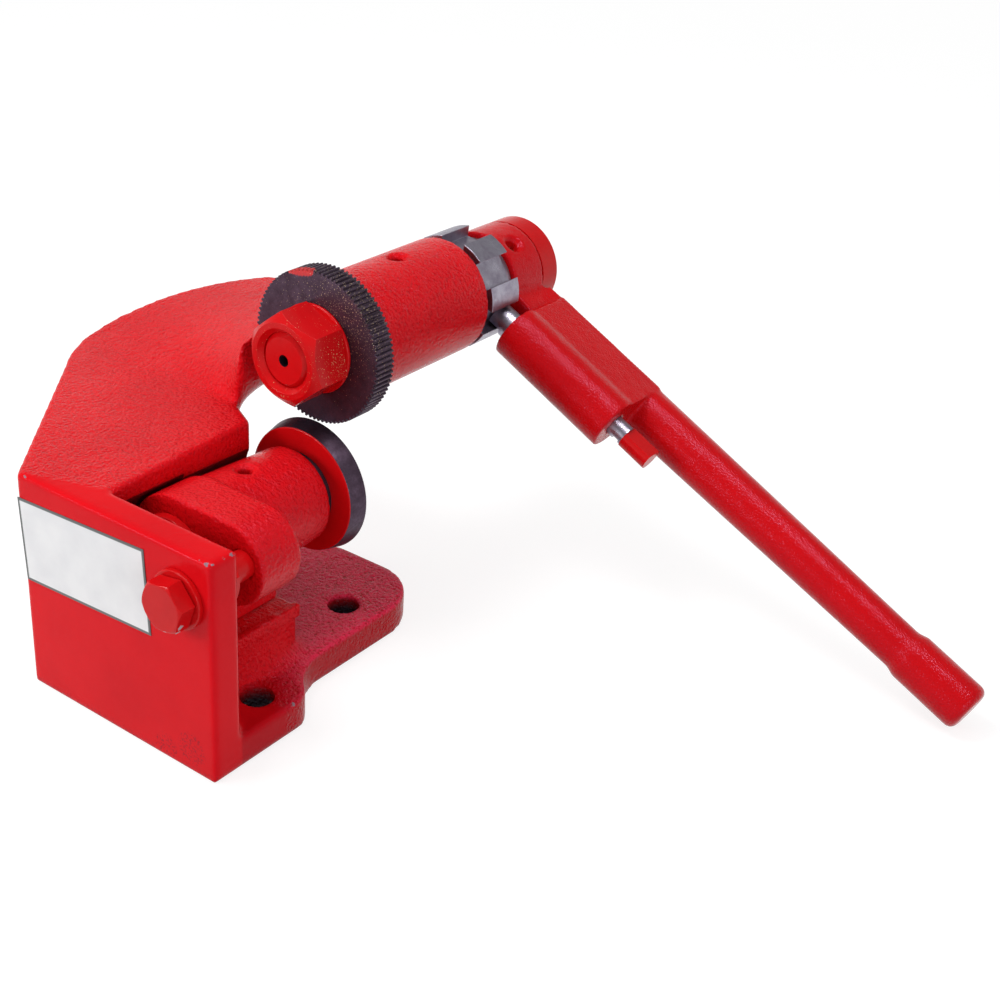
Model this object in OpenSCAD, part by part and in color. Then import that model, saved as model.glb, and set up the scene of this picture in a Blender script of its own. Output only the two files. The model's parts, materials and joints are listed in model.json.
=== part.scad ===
/* [Cutters] */
// Diameter of the upper cutter over its teeth
upper_cutter_d = 56.5; // [52:0.5:60]
// Thickness of the upper cutter
upper_cutter_t = 9.1; // [7:0.1:12]
// Number of teeth round the upper cutter
tooth_count = 90; // [60:1:110]
// Depth of one tooth
tooth_depth = 0.9; // [0.5:0.1:1.4]
// Diameter of the lower cutter at its cutting edge
lower_cutter_d = 51; // [47:0.5:54]
// Thickness of the lower cutter
lower_cutter_t = 7.5; // [6:0.1:10]
// How much the lower cutter's front face is smaller in radius than its edge
lower_cutter_taper = 1.7; // [0.5:0.1:2.5]
// Overlap of the two cutting edges
cutter_overlap = 0.4; // [0.2:0.1:1]
// Side gap between the two cutting edges
cutter_gap = 0.25; // [0.1:0.05:0.5]

/* [Base and wall] */
// Height of the table, where the edges meet, above the bench
table_h = 82.5; // [78:0.5:95]
// Thickness of the base
base_t = 12; // [10:0.5:14]
// Width of the wall and of the base beside it
wall_w = 90; // [88:0.5:100]
// Thickness of the wall
wall_t = 12; // [9:0.5:16]
// Width of the base's rear lobe
lobe_w = 62; // [56:0.5:70]
// Reach of the rear lobe behind the shear plane
base_rear = 30.5; // [26:0.5:40]
// Corner radius of the rear lobe
base_corner_r = 22; // [15:0.5:26]
// Radius of the base's shoulders
shoulder_r = 12; // [9:0.5:15]
// Radius of the hollow between a shoulder and the lobe
waist_r = 24; // [18:0.5:30]
// Distance of the right shoulder from the wall
shoulder_reach = 26; // [22:0.5:34]
// Length of the side wall behind the wall
side_wall_l = 55; // [48:0.5:60]
// Thickness of the side wall
side_wall_t = 19; // [14:0.5:20]
// Diameter of the base's bolt holes
base_hole_d = 12; // [9:0.5:14]
// Distance of the rear bolt holes from the middle
rear_hole_x = 16.1; // [13:0.1:20]
// Distance of the rear bolt holes from the base's rear end
rear_hole_inset = 32; // [24:0.5:36]
// Distance of the front bolt hole from the base's side
front_hole_inset = 12.4; // [10:0.1:14]
// Distance of the front bolt hole from the wall
front_hole_reach = 20.1; // [14:0.1:24]
// Right edge of the carriage pad, from the middle
pad_edge = 22.5; // [20:0.5:25]
// Length of the pad behind the carriage's foot
pad_margin = 2; // [1:0.5:4]
// Width of the blank label
label_w = 61; // [50:0.5:62]
// Height of the blank label
label_h = 31.2; // [24:0.2:34]
// Thickness of the blank label
label_t = 0.25; // [0.1:0.05:0.5]
// Middle of the label, left of the shaft axes
label_x = 14; // [12:0.5:14.5]
// Middle of the label, below the table
label_drop = 23.1; // [20:0.1:30]
// Tilt of the label
label_tilt = 3.2; // [0:0.1:5]

/* [Arm and barrel] */
// Thickness of the arm
arm_t = 20.5; // [17:0.5:24]
// Radius of the arm's outer bend
arm_bend_r = 60; // [57:0.5:64]
// Centre of the outer bend, left of the shaft axes
arm_bend_x = 60.2; // [57:0.2:63]
// Centre of the outer bend, behind the shear plane
arm_bend_y = 14.9; // [11:0.1:18]
// Clearance between the lower cutter's rim and the arm's inner corner
nose_gap = 4.5; // [3.5:0.1:6]
// Setback of the arm's inner corner from the lower cutter's front face
nose_setback = 1.25; // [0.8:0.05:2.5]
// Drop of the arm's blunt end from its inner corner towards the wall
arm_end_drop = 7.3; // [5:0.1:10]
// Clearance between the arm's blunt end and the lower shaft's flange
arm_end_gap = 1.5; // [1:0.1:3]
// Distance of the carriage pocket's front corner from the shaft axes
pocket_edge = 12.4; // [10:0.1:14]
// Clearance of the carriage in its pocket
pocket_gap = 1.2; // [0.8:0.1:2]
// Direction in plan where the arm begins to climb to the barrel
ramp_start = 184; // [178:1:188]
// Turn over which the climb sets in
ramp_soft = 28; // [16:1:36]
// Direction in plan where the climb ends inside the barrel
ramp_end = 66; // [62:1:72]
// Height of the neck's top above the upper axis, where the climb ends
neck_top = 5.2; // [2:0.2:8]
// Depth of the neck's underside below the upper axis, where the climb ends
neck_depth = 19.4; // [15:0.2:20]
// Radius of the neck's inner corner
neck_inner_r = 1.5; // [1:0.1:3]
// Setback of the neck's rear face from the barrel's rear end
neck_setback = 3.8; // [2:0.2:8]
// Outside diameter of the barrel
barrel_d = 45; // [43:0.5:48]
// Length of the barrel
barrel_l = 62.9; // [56:0.1:72]
// Gap between the upper cutter and the barrel
barrel_gap = 0.8; // [0.4:0.1:0.9]
// Clearance round the upper cutter's rim
cutter_clear = 2.75; // [1.5:0.05:3]
// Diameter of the oil holes
oil_hole_d = 5; // [3:0.5:6]
// Diameter of the oil holes' countersinks
oil_sink_d = 9; // [7:0.5:10]
// Distance of the barrel's oil hole from its front end
barrel_oil_y = 34.1; // [28:0.1:38]

/* [Upper spindle] */
// Diameter of the upper shaft in its bushes
upper_shaft_d = 22; // [21:0.1:23]
// Diameter of the upper shaft's threaded nose
nose_d = 20; // [18:0.1:20.4]
// Chamfer of the nose's front end
nose_edge = 1.5; // [0.5:0.1:2]
// Outside diameter of the upper bushes and the lever's bush
upper_bush_d = 28; // [26:0.5:30]
// Length of each barrel bush
upper_bush_l = 20; // [16:0.5:26]
// Outside diameter of the washer under the cutter nut
cutter_washer_d = 33; // [31:0.5:36]
// Thickness of that washer
cutter_washer_t = 1.5; // [1:0.1:3]
// Width of the cutter nut across its flats
cutter_nut_af = 30; // [28:0.5:32]
// Thickness of the cutter nut
cutter_nut_t = 15.8; // [13:0.1:18]
// Direction of one corner of the cutter nut
cutter_nut_turn = 40; // [0:1:60]
// Setback of the shaft's nose in the cutter nut
nose_setin = 0.9; // [0.3:0.1:2]
// Diameter of the centre hole in the shaft's nose
centre_hole_d = 4.3; // [3:0.1:6]
// Depth of the centre hole
centre_hole_l = 9; // [5:0.5:12]
// Width and height of the square keys
key_w = 6; // [5:0.1:7]
// Length of the cutter's key
cutter_key_l = 7.5; // [5:0.1:8]
// Length of the ratchet wheel's key
ratchet_key_l = 15; // [11:0.5:16]
// Outside diameter of the thrust washer
thrust_d = 36; // [32:0.5:40]
// Thickness of the thrust washer
thrust_t = 1.6; // [1:0.1:2.5]
// Diameter of the ratchet wheel
ratchet_d = 45; // [43:0.5:47]
// Width of the ratchet wheel's toothed rim
ratchet_t = 17.1; // [16:0.1:20]
// Number of slots in the ratchet wheel
slot_count = 7; // [6:1:8]
// Width of a slot
slot_w = 10.3; // [9.6:0.1:11.5]
// Depth of a slot
slot_depth = 5; // [4:0.1:5.5]
// Turn of the engaged slot from the plunger
slot_lead = 8.4; // [7:0.1:9]
// Diameter of the ratchet wheel's rear boss
ratchet_boss_d = 34; // [31:0.5:34.5]
// Length of the rear boss
ratchet_boss_t = 2.8; // [2:0.1:5]
// Diameter of the end collar
collar_d = 37.8; // [34:0.2:40]
// Width of the end collar
collar_t = 9.4; // [8:0.1:12]
// Diameter of the pin through the end collar
collar_pin_d = 5; // [4:0.1:6]
// Direction of the pin through the end collar
collar_pin_turn = 30; // [0:1:60]

/* [Lever] */
// Outside diameter of the lever's hub
hub_d = 38; // [36:0.5:41]
// Width of the lever's hub
hub_l = 18.5; // [17:0.1:22]
// Direction of the hub's oil hole above the lever
hub_oil_turn = 82; // [70:1:95]
// Distance of the hub's oil hole from its front face
hub_oil_y = 8.2; // [6:0.1:9]
// Start of the lever's boss and shank, from the upper axis
boss_start = 27.3; // [26.5:0.1:30]
// Length of the plunger's boss
boss_l = 54; // [50:0.5:60]
// Radius of the plunger's boss
boss_r = 10.7; // [9.8:0.1:11.5]
// Distance of the plunger's axis in front of the hub
plunger_inset = 6.8; // [6.5:0.1:8]
// Distance of the shank's axis behind the hub's front face, beside the boss
shank_back = 17.7; // [15:0.1:20]
// Depth of the shank's axis below the plunger's axis, beside the boss
shank_drop = 3.5; // [2.5:0.05:4.5]
// Distance of the grip's outer end behind the hub's front face
grip_back = 0.5; // [0:0.1:4]
// Height of the grip's outer end above the plunger's axis
grip_rise = 11; // [8:0.1:12]
// Radius of the shank beside the boss
shank_r = 10.6; // [9.5:0.1:11]
// Radius of the shank at the grip
shank_end_r = 8.2; // [7.5:0.1:9]
// Distance of the grip's outer end from the upper axis
grip_end = 243.7; // [230:0.1:260]
// Length of the grip
grip_l = 30.7; // [26:0.1:44]
// Radius of the grip
grip_r = 9.3; // [9.1:0.1:10.5]
// Length of the slope from the shank to the grip
grip_slope_l = 3.5; // [1:0.1:6]
// Edge radius of the grip
grip_edge_r = 3; // [1:0.1:4]
// Height of the resting grip above the bench
grip_lift = 1.2; // [0.5:0.1:4]
// Direction of the crease where the web's flat top leaves the boss, from the boss's top
web_turn = 28; // [20:1:34]
// Fall of the web's flat top towards its rear edge
web_fall = 3; // [0:1:6]
// Distance of the web's rear edge behind the hub's front face
web_back = 20.1; // [18:0.1:22]
// Width of the neck between the hub and the boss
lever_neck_w = 17.4; // [14:0.1:17.4]
// Height of the neck's saddle above the plunger's axis, at the boss
saddle_h = 6.5; // [4:0.1:7.5]

/* [Plunger] */
// Radius of the plunger
plunger_r = 4; // [3.6:0.1:4.1]
// Radius of the plunger's thick front
plunger_front_r = 5.6; // [5.5:0.1:5.8]
// Depth of the thick front's end inside the boss
plunger_front_in = 13.7; // [11:0.1:16]
// Length of the spring's chamber
spring_room = 33; // [29:0.5:35]
// Wire diameter of the plunger's spring
spring_wire = 1; // [0.7:0.1:1.1]
// Number of turns of the plunger's spring
spring_turns = 9; // [6:1:11]
// Travel of the plunger
plunger_travel = 6; // [5:0.1:6.4]
// Depth of the flat on the plunger's tip, from its axis
tip_flat = 1.2; // [0.9:0.1:1.4]
// Gap between the boss and the knob
knob_gap = 6.6; // [6.5:0.1:9]
// Length of the knob
knob_l = 12.7; // [10:0.1:16]
// Radius of the knob
knob_r = 4.4; // [4.2:0.1:5]
// Depth of the flat on the knob, from its axis
knob_flat = 2.9; // [2.6:0.1:3.6]
// Radius of the plunger's spigot in the knob
spigot_r = 2.4; // [2:0.1:2.5]
// Diameter of the pin through the knob
knob_pin_d = 2; // [1.5:0.1:2.5]

/* [Carriage] */
// Length of the carriage
carriage_l = 57.6; // [54:0.1:64]
// Radius of the carriage at its front
carriage_r = 21; // [20:0.1:22]
// Radius of the carriage at its rear
carriage_rear_r = 18.3; // [17:0.1:19.5]
// Radius of the carriage's front flange
flange_r = 21.2; // [20.8:0.1:22.2]
// Thickness of the front flange
flange_t = 18.8; // [15:0.1:22]
// Radius of the flange's side lobe
side_lobe_r = 15.1; // [14.5:0.1:16]
// Distance of the side lobe from the shaft axes
side_lobe_x = 25; // [23:0.1:27]
// Height of the side lobe above the lower axis
side_lobe_z = 5.9; // [4:0.1:8]
// Height of the lower axis above the pad
axis_over_pad = 27.2; // [25:0.1:29]
// Width of the carriage's foot
foot_w = 30; // [24:0.5:34]
// Length of the carriage's foot
foot_l = 33.5; // [30:0.5:38]
// Outside diameter of the lower bushes
lower_bush_d = 24; // [22:0.5:26]
// Length of each lower bush
lower_bush_l = 20; // [16:0.5:25]
// Distance of the carriage's oil hole from its rear end
carriage_oil_y = 24.1; // [20:0.1:30]
// Diameter of the lower shaft in its bushes
lower_shaft_d = 18; // [17:0.1:19]
// Diameter of the lower shaft's rear flange
shaft_flange_d = 30; // [26:0.5:32]
// Thickness of the rear flange
shaft_flange_t = 3.8; // [3:0.1:5]
// Diameter of the spigot inside the lower cutter
cutter_spigot_d = 14; // [13:0.1:15]
// Thread of the lower shaft's front end
lower_thread_d = 14; // [12:0.5:15]
// Outside diameter of the lower collar
lower_collar_d = 30; // [26:0.5:33]
// Thickness of the lower collar
lower_collar_t = 3.4; // [2:0.1:5]
// Width of the lower nut across its flats
lower_nut_af = 22; // [20:0.5:24]
// Thickness of the lower nut
lower_nut_t = 8; // [7:0.5:11]
// Length of thread past the lower nut
thread_out = 0.6; // [0.4:0.1:2]
// Room between the lower shaft's thread and the wall
thread_room = 3.25; // [2.5:0.05:6]
// Thread of the lower cutter's screw
cutter_screw_d = 8; // [6:0.5:9]
// Head diameter of the lower cutter's screw
cutter_screw_head_d = 16; // [15.5:0.1:17]
// Length of the lower cutter's screw
cutter_screw_l = 20; // [16:0.5:28]

/* [Adjuster and clamp] */
// Thread of the adjusting bolt
adjusting_d = 10; // [8:0.5:10]
// Distance of the bolt from the side lobe's middle
adjusting_dx = 6.3; // [5:0.1:7]
// Height of the bolt above the side lobe's middle
adjusting_dz = 2.5; // [1:0.1:4]
// Width of the bolt's head and lock nut across their flats
adjusting_af = 16; // [15:0.5:18]
// Thickness of the bolt's head
adjusting_head_t = 6.3; // [5:0.1:8]
// Diameter of the washer under the bolt's head
adjusting_washer_d = 20.5; // [18.5:0.5:24]
// Thickness of that washer
adjusting_washer_t = 2; // [1.5:0.1:3]
// Diameter of the hole for the bolt in the wall
wall_hole_d = 11; // [10.6:0.1:12]
// Thickness of the lock nut
lock_nut_t = 6; // [5:0.1:8]
// Depth of the tapped hole in the side lobe
tapped_l = 17; // [15:0.5:18]
// Room past the bolt's end in the tapped hole
tapped_room = 2.5; // [2:0.1:4]
// Forward travel of the carriage
carriage_travel = 1.5; // [1:0.1:1.6]
// Thread of the clamp screws
clamp_d = 8; // [6:0.5:8]
// Head diameter of the clamp screws
clamp_head_d = 13; // [12:0.5:15]
// Head height of the clamp screws
clamp_head_t = 8; // [6:0.1:8]
// Setback of the screw heads in the base
clamp_setin = 1; // [0.5:0.1:2]
// Diameter of the clamp washers
clamp_washer_d = 15.6; // [14:0.1:16]
// Thickness of the clamp washers
clamp_washer_t = 1.6; // [1:0.1:2]
// Distance of the front clamp screw from the carriage's front
clamp_front = 7; // [6.5:0.1:8]
// Distance between the clamp screws
clamp_pitch = 18.6; // [18.4:0.1:20]
// Thread left in the foot under the bush's bore
clamp_floor = 2.2; // [1.5:0.1:4]

/* [Clearances] */
// Gap between flat faces that move past each other
face_gap = 0.3; // [0.2:0.05:0.4]
// Radial clearance of a turning shaft
running = 0.05; // [0.02:0.01:0.1]
// Radial clearance of a pressed or screwed piece
snug = 0.02; // [0.01:0.01:0.05]
// Clearance of the screw heads and washers in the base's slots
slot_gap = 0.5; // [0.3:0.1:1]

/* [Hidden] */
$fn = 64;

// Extra length of a cutting shape past the face it opens
past = 1;
// Share of a hexagon's flat that its round chamfer leaves
hex_chamfer = 0.96;
// Angle of the chamfer on nuts and bolt heads
hex_slope = 30;
// The same share and angle for the rounder cutter nut
round_share = 0.93;
round_slope = 40;
// Width of the chamfer in the cutter nut's bore
nut_sink = 1.8;
// Share of a tooth's pitch at the end of its tip, the start and the end of its root
tooth_shares = [0.36, 0.52, 0.84];
// Share of its collar's or knob's diameter that a pin fills
pin_share = 0.98;
// Socket width of a screw as a share of its thread
cap_socket = 0.75;
sunk_socket = 0.625;
// Turn of the adjusting bolt's head and of its lock nut
head_turn = 10;
lock_nut_turn = 20;
// Inset of the flank's end from the arm's outer bend
flank_inset = 0.2;

// Shaft axes: the edges meet at the table's height
upper_axis_z = table_h + upper_cutter_d / 2 - cutter_overlap / 2;
lower_axis_z = table_h - lower_cutter_d / 2 + cutter_overlap / 2;

// Stations along the upper spindle, front to rear
washer_front = -cutter_washer_t;
nut_front = washer_front - cutter_nut_t;
shaft_front = nut_front + nose_setin;
barrel_front = upper_cutter_t + barrel_gap;
barrel_rear = barrel_front + barrel_l;
thrust_front = barrel_rear + face_gap;
ratchet_front = thrust_front + thrust_t;
ratchet_rim_rear = ratchet_front + ratchet_t;
ratchet_rear = ratchet_rim_rear + ratchet_boss_t;
hub_front = ratchet_rear + face_gap;
hub_rear = hub_front + hub_l;
collar_front = hub_rear + face_gap;
collar_rear = collar_front + collar_t;

// Stations along the lower spindle, rear to front
lower_cutter_rear = -cutter_gap;
lower_cutter_front = lower_cutter_rear - lower_cutter_t;
shaft_flange_front = lower_cutter_front - shaft_flange_t;
carriage_rear = shaft_flange_front - face_gap;
carriage_front = carriage_rear - carriage_l;
lower_collar_rear = carriage_front - face_gap;
lower_collar_front = lower_collar_rear - lower_collar_t;
lower_nut_front = lower_collar_front - lower_nut_t;
lower_shaft_front = lower_nut_front - thread_out;
flange_rear = carriage_front + flange_t;
foot_rear = carriage_front + foot_l;

// Wall, pad and base
wall_rear = lower_shaft_front - thread_room;
wall_front = wall_rear - wall_t;
wall_x = wall_w / 2;
arm_bottom = table_h - arm_t;
side_wall_rear = wall_rear + side_wall_l;
side_wall_x = side_wall_t - wall_x;
pad_top = lower_axis_z - axis_over_pad;
pad_rear = foot_rear + pad_margin;
foot_bottom = pad_top + face_gap;
rear_hole_y = base_rear - rear_hole_inset;
front_hole_x = wall_x - front_hole_inset;
front_hole_y = wall_rear + front_hole_reach;

// Corners of the arm in plan
arm_corner = [-wall_x, wall_front];
arm_bend = [-arm_bend_x, arm_bend_y];
arm_nose = [-lower_cutter_d / 2 - nose_gap, lower_cutter_front - nose_setback];
arm_end = [-shaft_flange_d / 2 - arm_end_gap, arm_nose.y - arm_end_drop];
neck_rear = barrel_rear - neck_setback;
neck_steps = 36;
// Turn by which the plate and the climbing neck overlap
ramp_overlap = 4;
// Share of the climb's slope by which the neck's top dives into the plate
ramp_dive = 0.35;
half_turn = 180;
// Rise of the neck's underside above the plate's, where they overlap
neck_step = 1;
// Extra size of the plate and the neck before the arm's outline trims them
arm_spare = 5;

// Radii of the carriage's pocket
taper_at_flange = carriage_r - (carriage_r - carriage_rear_r) * flange_t / carriage_l;
pocket_front_r = flange_r + pocket_gap;
pocket_rear_r = taper_at_flange + pocket_gap;

// Ratchet, lever and plunger
slot_root_r = ratchet_d / 2 - slot_depth;
plunger_y = hub_front - plunger_inset;
boss_end = boss_start + boss_l;
shank_mid = [boss_start + boss_l / 2, hub_front + shank_back, -shank_drop];
shank_tip = [grip_end, hub_front + grip_back, grip_rise];
shank_way = shank_tip - shank_mid;
grip_low = [grip_end - grip_edge_r, grip_rise - grip_r + grip_edge_r];
lever_drop = upper_axis_z - grip_edge_r - grip_lift;
lever_angle = asin(lever_drop / norm(grip_low)) + atan2(grip_low.y, grip_low.x);
plunger_tip = (slot_root_r + face_gap + tip_flat * sin(slot_lead)) / cos(slot_lead);
// Gap between the ratchet wheel's rim and the end of the plunger's flat
tip_room = 1.1;
tip_end = ratchet_d / 2 + tip_room;
plunger_front_end = boss_start + plunger_front_in;
spring_end = plunger_front_end + spring_room;
knob_start = boss_end + knob_gap;
knob_end = knob_start + knob_l;
// Thickness of the knob past the plunger's spigot
knob_floor = 3;
spigot_end = knob_end - knob_floor;
// Length of the notch in front of the knob
plunger_notch_l = 4;
// Depth of the neck's underside at the hub and at the boss
neck_hub_depth = 16;
neck_boss_depth = 8;
// Height of the neck's saddle at the hub
saddle_hub_h = 9;
// Gap between the end collar and the neck's rear part
neck_gap = 1.4;
// Depth of the neck's rear part below the web's flat top
neck_dip = 0.5;
// Crease of the boss and the web, and the web's rear edge
web_crease = [plunger_y + boss_r * sin(web_turn), boss_r * cos(web_turn)];
web_rear = hub_front + web_back;
web_edge = [web_rear, web_crease.y - (web_rear - web_crease.x) * tan(web_fall)];
// Direction of the web's underside at the boss
web_under = -60;

// Adjusting bolt and clamp screws
adjusting_x = side_lobe_x + adjusting_dx;
adjusting_z = lower_axis_z + side_lobe_z + adjusting_dz;
bolt_head_rear = wall_front - adjusting_washer_t - face_gap;
bolt_end = carriage_front + tapped_l - tapped_room;
lock_nut_front = wall_rear + face_gap;
clamp_y = [carriage_front + clamp_front, carriage_front + clamp_front + clamp_pitch];
clamp_head_top = clamp_setin + clamp_head_t;
clamp_washer_top = clamp_head_top + clamp_washer_t;
clamp_end = lower_axis_z - lower_bush_d / 2 - clamp_floor;

// Colours
red = [0.80, 0.06, 0.08];
dark_steel = [0.22, 0.20, 0.24];
steel = [0.62, 0.62, 0.64];
bronze = [0.70, 0.52, 0.28];
label_white = [0.93, 0.93, 0.92];

// Points of an arc; skip leaves out the first points
function arc(c, r, a0, a1, n, skip = 0) =
    [for (i = [skip:n]) let (a = a0 + (a1 - a0) * i / n) c + r * [cos(a), sin(a)]];

// The same outline on the other side of the middle, run backwards
function mirrored(points) = [for (i = [len(points) - 1:-1:0]) [-points[i].x, points[i].y]];

// One side of the base: a round shoulder that flows into a hollow
function base_side(shoulder_y) =
    let (c1 = [wall_x - shoulder_r, shoulder_y])
    let (dx = lobe_w / 2 + waist_r - c1.x)
    let (dy = sqrt(pow(shoulder_r + waist_r, 2) - dx * dx))
    let (turn = atan2(dy, dx))
    concat(
        arc(c1, shoulder_r, 0, turn, 8),
        arc(c1 + [dx, dy], waist_r, 180 + turn, 180, 8, 1));

// Whole outline of the base, with the side wall's foot on the left
function base_outline() =
    let (corner = [lobe_w / 2 - base_corner_r, base_rear - base_corner_r])
    let (right = concat([[wall_x, wall_front]], base_side(wall_rear + shoulder_reach)))
    let (left = concat([[wall_x, wall_front]], base_side(side_wall_rear - shoulder_r)))
    let (tail = arc(corner, base_corner_r, 0, 90, 10))
    concat(right, tail, mirrored(concat(left, tail)));

// Distance along a ray from the arm's inner corner to the outer bend
function bend_reach(a) =
    let (u = [cos(a), sin(a)])
    let (v = arm_nose - arm_bend)
    let (b = u * v)
    -b + sqrt(b * b + arm_bend_r * arm_bend_r - v * v);

// Distance along that ray to the neck's rear face
function rear_reach(a) = (neck_rear - arm_nose.y) / sin(a);

// Outer edge of the climbing neck: the bend, then the rear face as far as the barrel
function neck_reach(a) =
    let (line = rear_reach(a))
    a >= half_turn ? bend_reach(a) :
    arm_nose.x + line * cos(a) > arm_bend.x ? line : min(bend_reach(a), line);

// Share of the climb reached in a direction: it sets in softly and then rises evenly
function climb(a) =
    let (t = ramp_start - a)
    (t < 0 ? t * ramp_dive : t < ramp_soft ? t * t / (2 * ramp_soft) : t - ramp_soft / 2)
        / (ramp_start - ramp_end - ramp_soft / 2);

// Plate of the arm and the wall's top, larger than the arm's outline on its outer sides
function plate_outline() =
    let (left = arm_bend.x - arm_bend_r - arm_spare)
    let (end = ramp_start - ramp_overlap)
    [[left, wall_front - arm_spare], [left, arm_nose.y + (left - arm_nose.x) * tan(end)],
        arm_nose, arm_end, [-pocket_edge, wall_rear],
        [wall_x + arm_spare, wall_rear], [wall_x + arm_spare, wall_front - arm_spare]];

// One cross-section of the climbing neck, which begins inside the plate
function neck_section(i) =
    let (s = i / neck_steps)
    let (start = ramp_start + ramp_overlap)
    let (a = start + (ramp_end - start) * s)
    let (first = arm_bottom + neck_step)
    let (low = first + (upper_axis_z - neck_depth - first) * s)
    let (high = table_h + (upper_axis_z + neck_top - table_h) * climb(a))
    let (near = arm_nose + neck_inner_r * [cos(a), sin(a)])
    let (far = arm_nose + (neck_reach(a) + arm_spare) * [cos(a), sin(a)])
    [[near.x, near.y, low], [far.x, far.y, low], [far.x, far.y, high], [near.x, near.y, high]];

// Triangles between rings that turn anticlockwise about their way, with flat ends
function tube_faces(rings, sides) = concat(
    [for (i = [0:rings - 2]) for (k = [0:sides - 1])
        let (m = (k + 1) % sides) [i * sides + k, (i + 1) * sides + k, i * sides + m]],
    [for (i = [0:rings - 2]) for (k = [0:sides - 1])
        let (m = (k + 1) % sides) [i * sides + m, (i + 1) * sides + k, (i + 1) * sides + m]],
    [for (k = [1:sides - 2]) [0, k, k + 1]],
    [for (k = [1:sides - 2]) (rings - 1) * sides * [1, 1, 1] + [0, k + 1, k]]);

// A flat shape drawn in X and Z, thickened backwards from y
module slab(y, t) {
    translate([0, y + t, 0])
        rotate([90, 0, 0])
            linear_extrude(t) children();
}

// A flat shape drawn across the lever, thickened outwards along it
module along_lever(start, l) {
    translate([start, 0, 0])
        rotate([90, 0, 90])
            linear_extrude(l) children();
}

// A round bar along Y
module bar(d, y, l, x = 0, z = 0) {
    slab(y, l)
        translate([x, z]) circle(d = d);
}

// A ring along Y
module ring(outer, inner, y, l, x = 0, z = 0) {
    slab(y, l)
        translate([x, z])
            difference() {
                circle(d = outer);
                circle(d = inner);
            }
}

// A hexagon along Y with round chamfers on the chosen ends
module hexagon(af, y, l, turn = 0, front = true, rear = true, share = hex_chamfer, slope = hex_slope) {
    tip_r = af / 2 / cos(30);
    face_r = af / 2 * share;
    outer = tip_r + past;
    fall = (outer - face_r) * tan(slope);
    intersection() {
        slab(y, l)
            rotate(turn) circle(r = tip_r, $fn = 6);
        translate([0, y, 0])
            rotate([-90, 0, 0])
                rotate_extrude()
                    polygon(concat(
                        front ? [[0, 0], [face_r, 0], [outer, fall]] : [[0, -past], [outer, -past]],
                        rear ? [[outer, l - fall], [face_r, l], [0, l]] : [[outer, l + past], [0, l + past]]));
    }
}

// A countersunk oil hole that points up from its piece's axis to the surface
module oil_hole(surface) {
    sink = (oil_sink_d - oil_hole_d) / 2;
    cylinder(d = oil_hole_d, h = surface + past);
    translate([0, 0, surface - sink])
        cylinder(d1 = oil_hole_d, d2 = oil_sink_d + 2 * past, h = sink + past);
}

// Places what is drawn about the lever: X runs out along it, Z is square to its upper side
module at_lever() {
    translate([0, 0, upper_axis_z])
        rotate([0, lever_angle, 0]) children();
}

module at_upper() {
    translate([0, 0, upper_axis_z]) children();
}

module at_lower() {
    translate([0, 0, lower_axis_z]) children();
}

// Key lying on top of a shaft of the given radius; grow opens it into a keyway
module key(shaft_r, y, l, grow = 0) {
    translate([-key_w / 2 - grow, y - grow, shaft_r - key_w / 2 - grow])
        cube([key_w + 2 * grow, l + 2 * grow, key_w + 2 * grow]);
}

// Slot through the base that lets a clamp screw follow the carriage
module clamp_slot(d, y, z, h) {
    w = d + 2 * slot_gap;
    translate([0, 0, z])
        linear_extrude(h)
            union() {
                translate([0, y]) circle(d = w);
                translate([0, y - carriage_travel]) circle(d = w);
                translate([-w / 2, y - carriage_travel]) square([w, carriage_travel]);
            }
}

module neck() {
    sections = [for (i = [0:neck_steps]) neck_section(i)];
    points = [for (s = sections) for (p = s) p];
    polyhedron(points, tube_faces(len(sections), 4));
}

// Outline that trims the arm: outer bend, straight flank, wall and rear face
module arm_limits() {
    v = arm_corner - arm_bend;
    turn = atan2(v.y, v.x) - acos(arm_bend_r / norm(v));
    flank = arm_bend + (arm_bend_r - flank_inset) * [cos(turn), sin(turn)];
    difference() {
        union() {
            translate(arm_bend) circle(r = arm_bend_r, $fn = 128);
            polygon([flank, arm_corner, [wall_x, wall_front], [wall_x, neck_rear],
                [arm_bend.x, neck_rear], arm_bend]);
        }
        translate([arm_bend.x - arm_bend_r, neck_rear]) square(2 * arm_bend_r);
    }
}

module arm() {
    intersection() {
        union() {
            translate([0, 0, arm_bottom])
                linear_extrude(arm_t) polygon(plate_outline());
            difference() {
                neck();
                at_upper()
                    bar(upper_cutter_d + 2 * cutter_clear, 2 * arm_nose.y, barrel_front - 2 * arm_nose.y);
            }
        }
        translate([0, 0, arm_bottom])
            linear_extrude(upper_axis_z) arm_limits();
    }
}

// Wall and side wall between the base and the arm
module frame_walls() {
    corner = [shoulder_r - wall_x, side_wall_rear - shoulder_r];
    translate([0, 0, base_t])
        linear_extrude(arm_bottom - base_t)
            polygon(concat(
                [[wall_x, wall_front], [wall_x, wall_rear], [side_wall_x, wall_rear]],
                [[side_wall_x, side_wall_rear]],
                arc(corner, shoulder_r, 90, 180, 10),
                [[-wall_x, wall_front]]));
}

module frame_castings() {
    linear_extrude(base_t) polygon(base_outline());
    frame_walls();
    translate([side_wall_x, wall_rear, base_t])
        cube([pad_edge - side_wall_x, pad_rear - wall_rear, pad_top - base_t]);
    arm();
    at_upper() bar(barrel_d, barrel_front, barrel_l);
}

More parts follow.
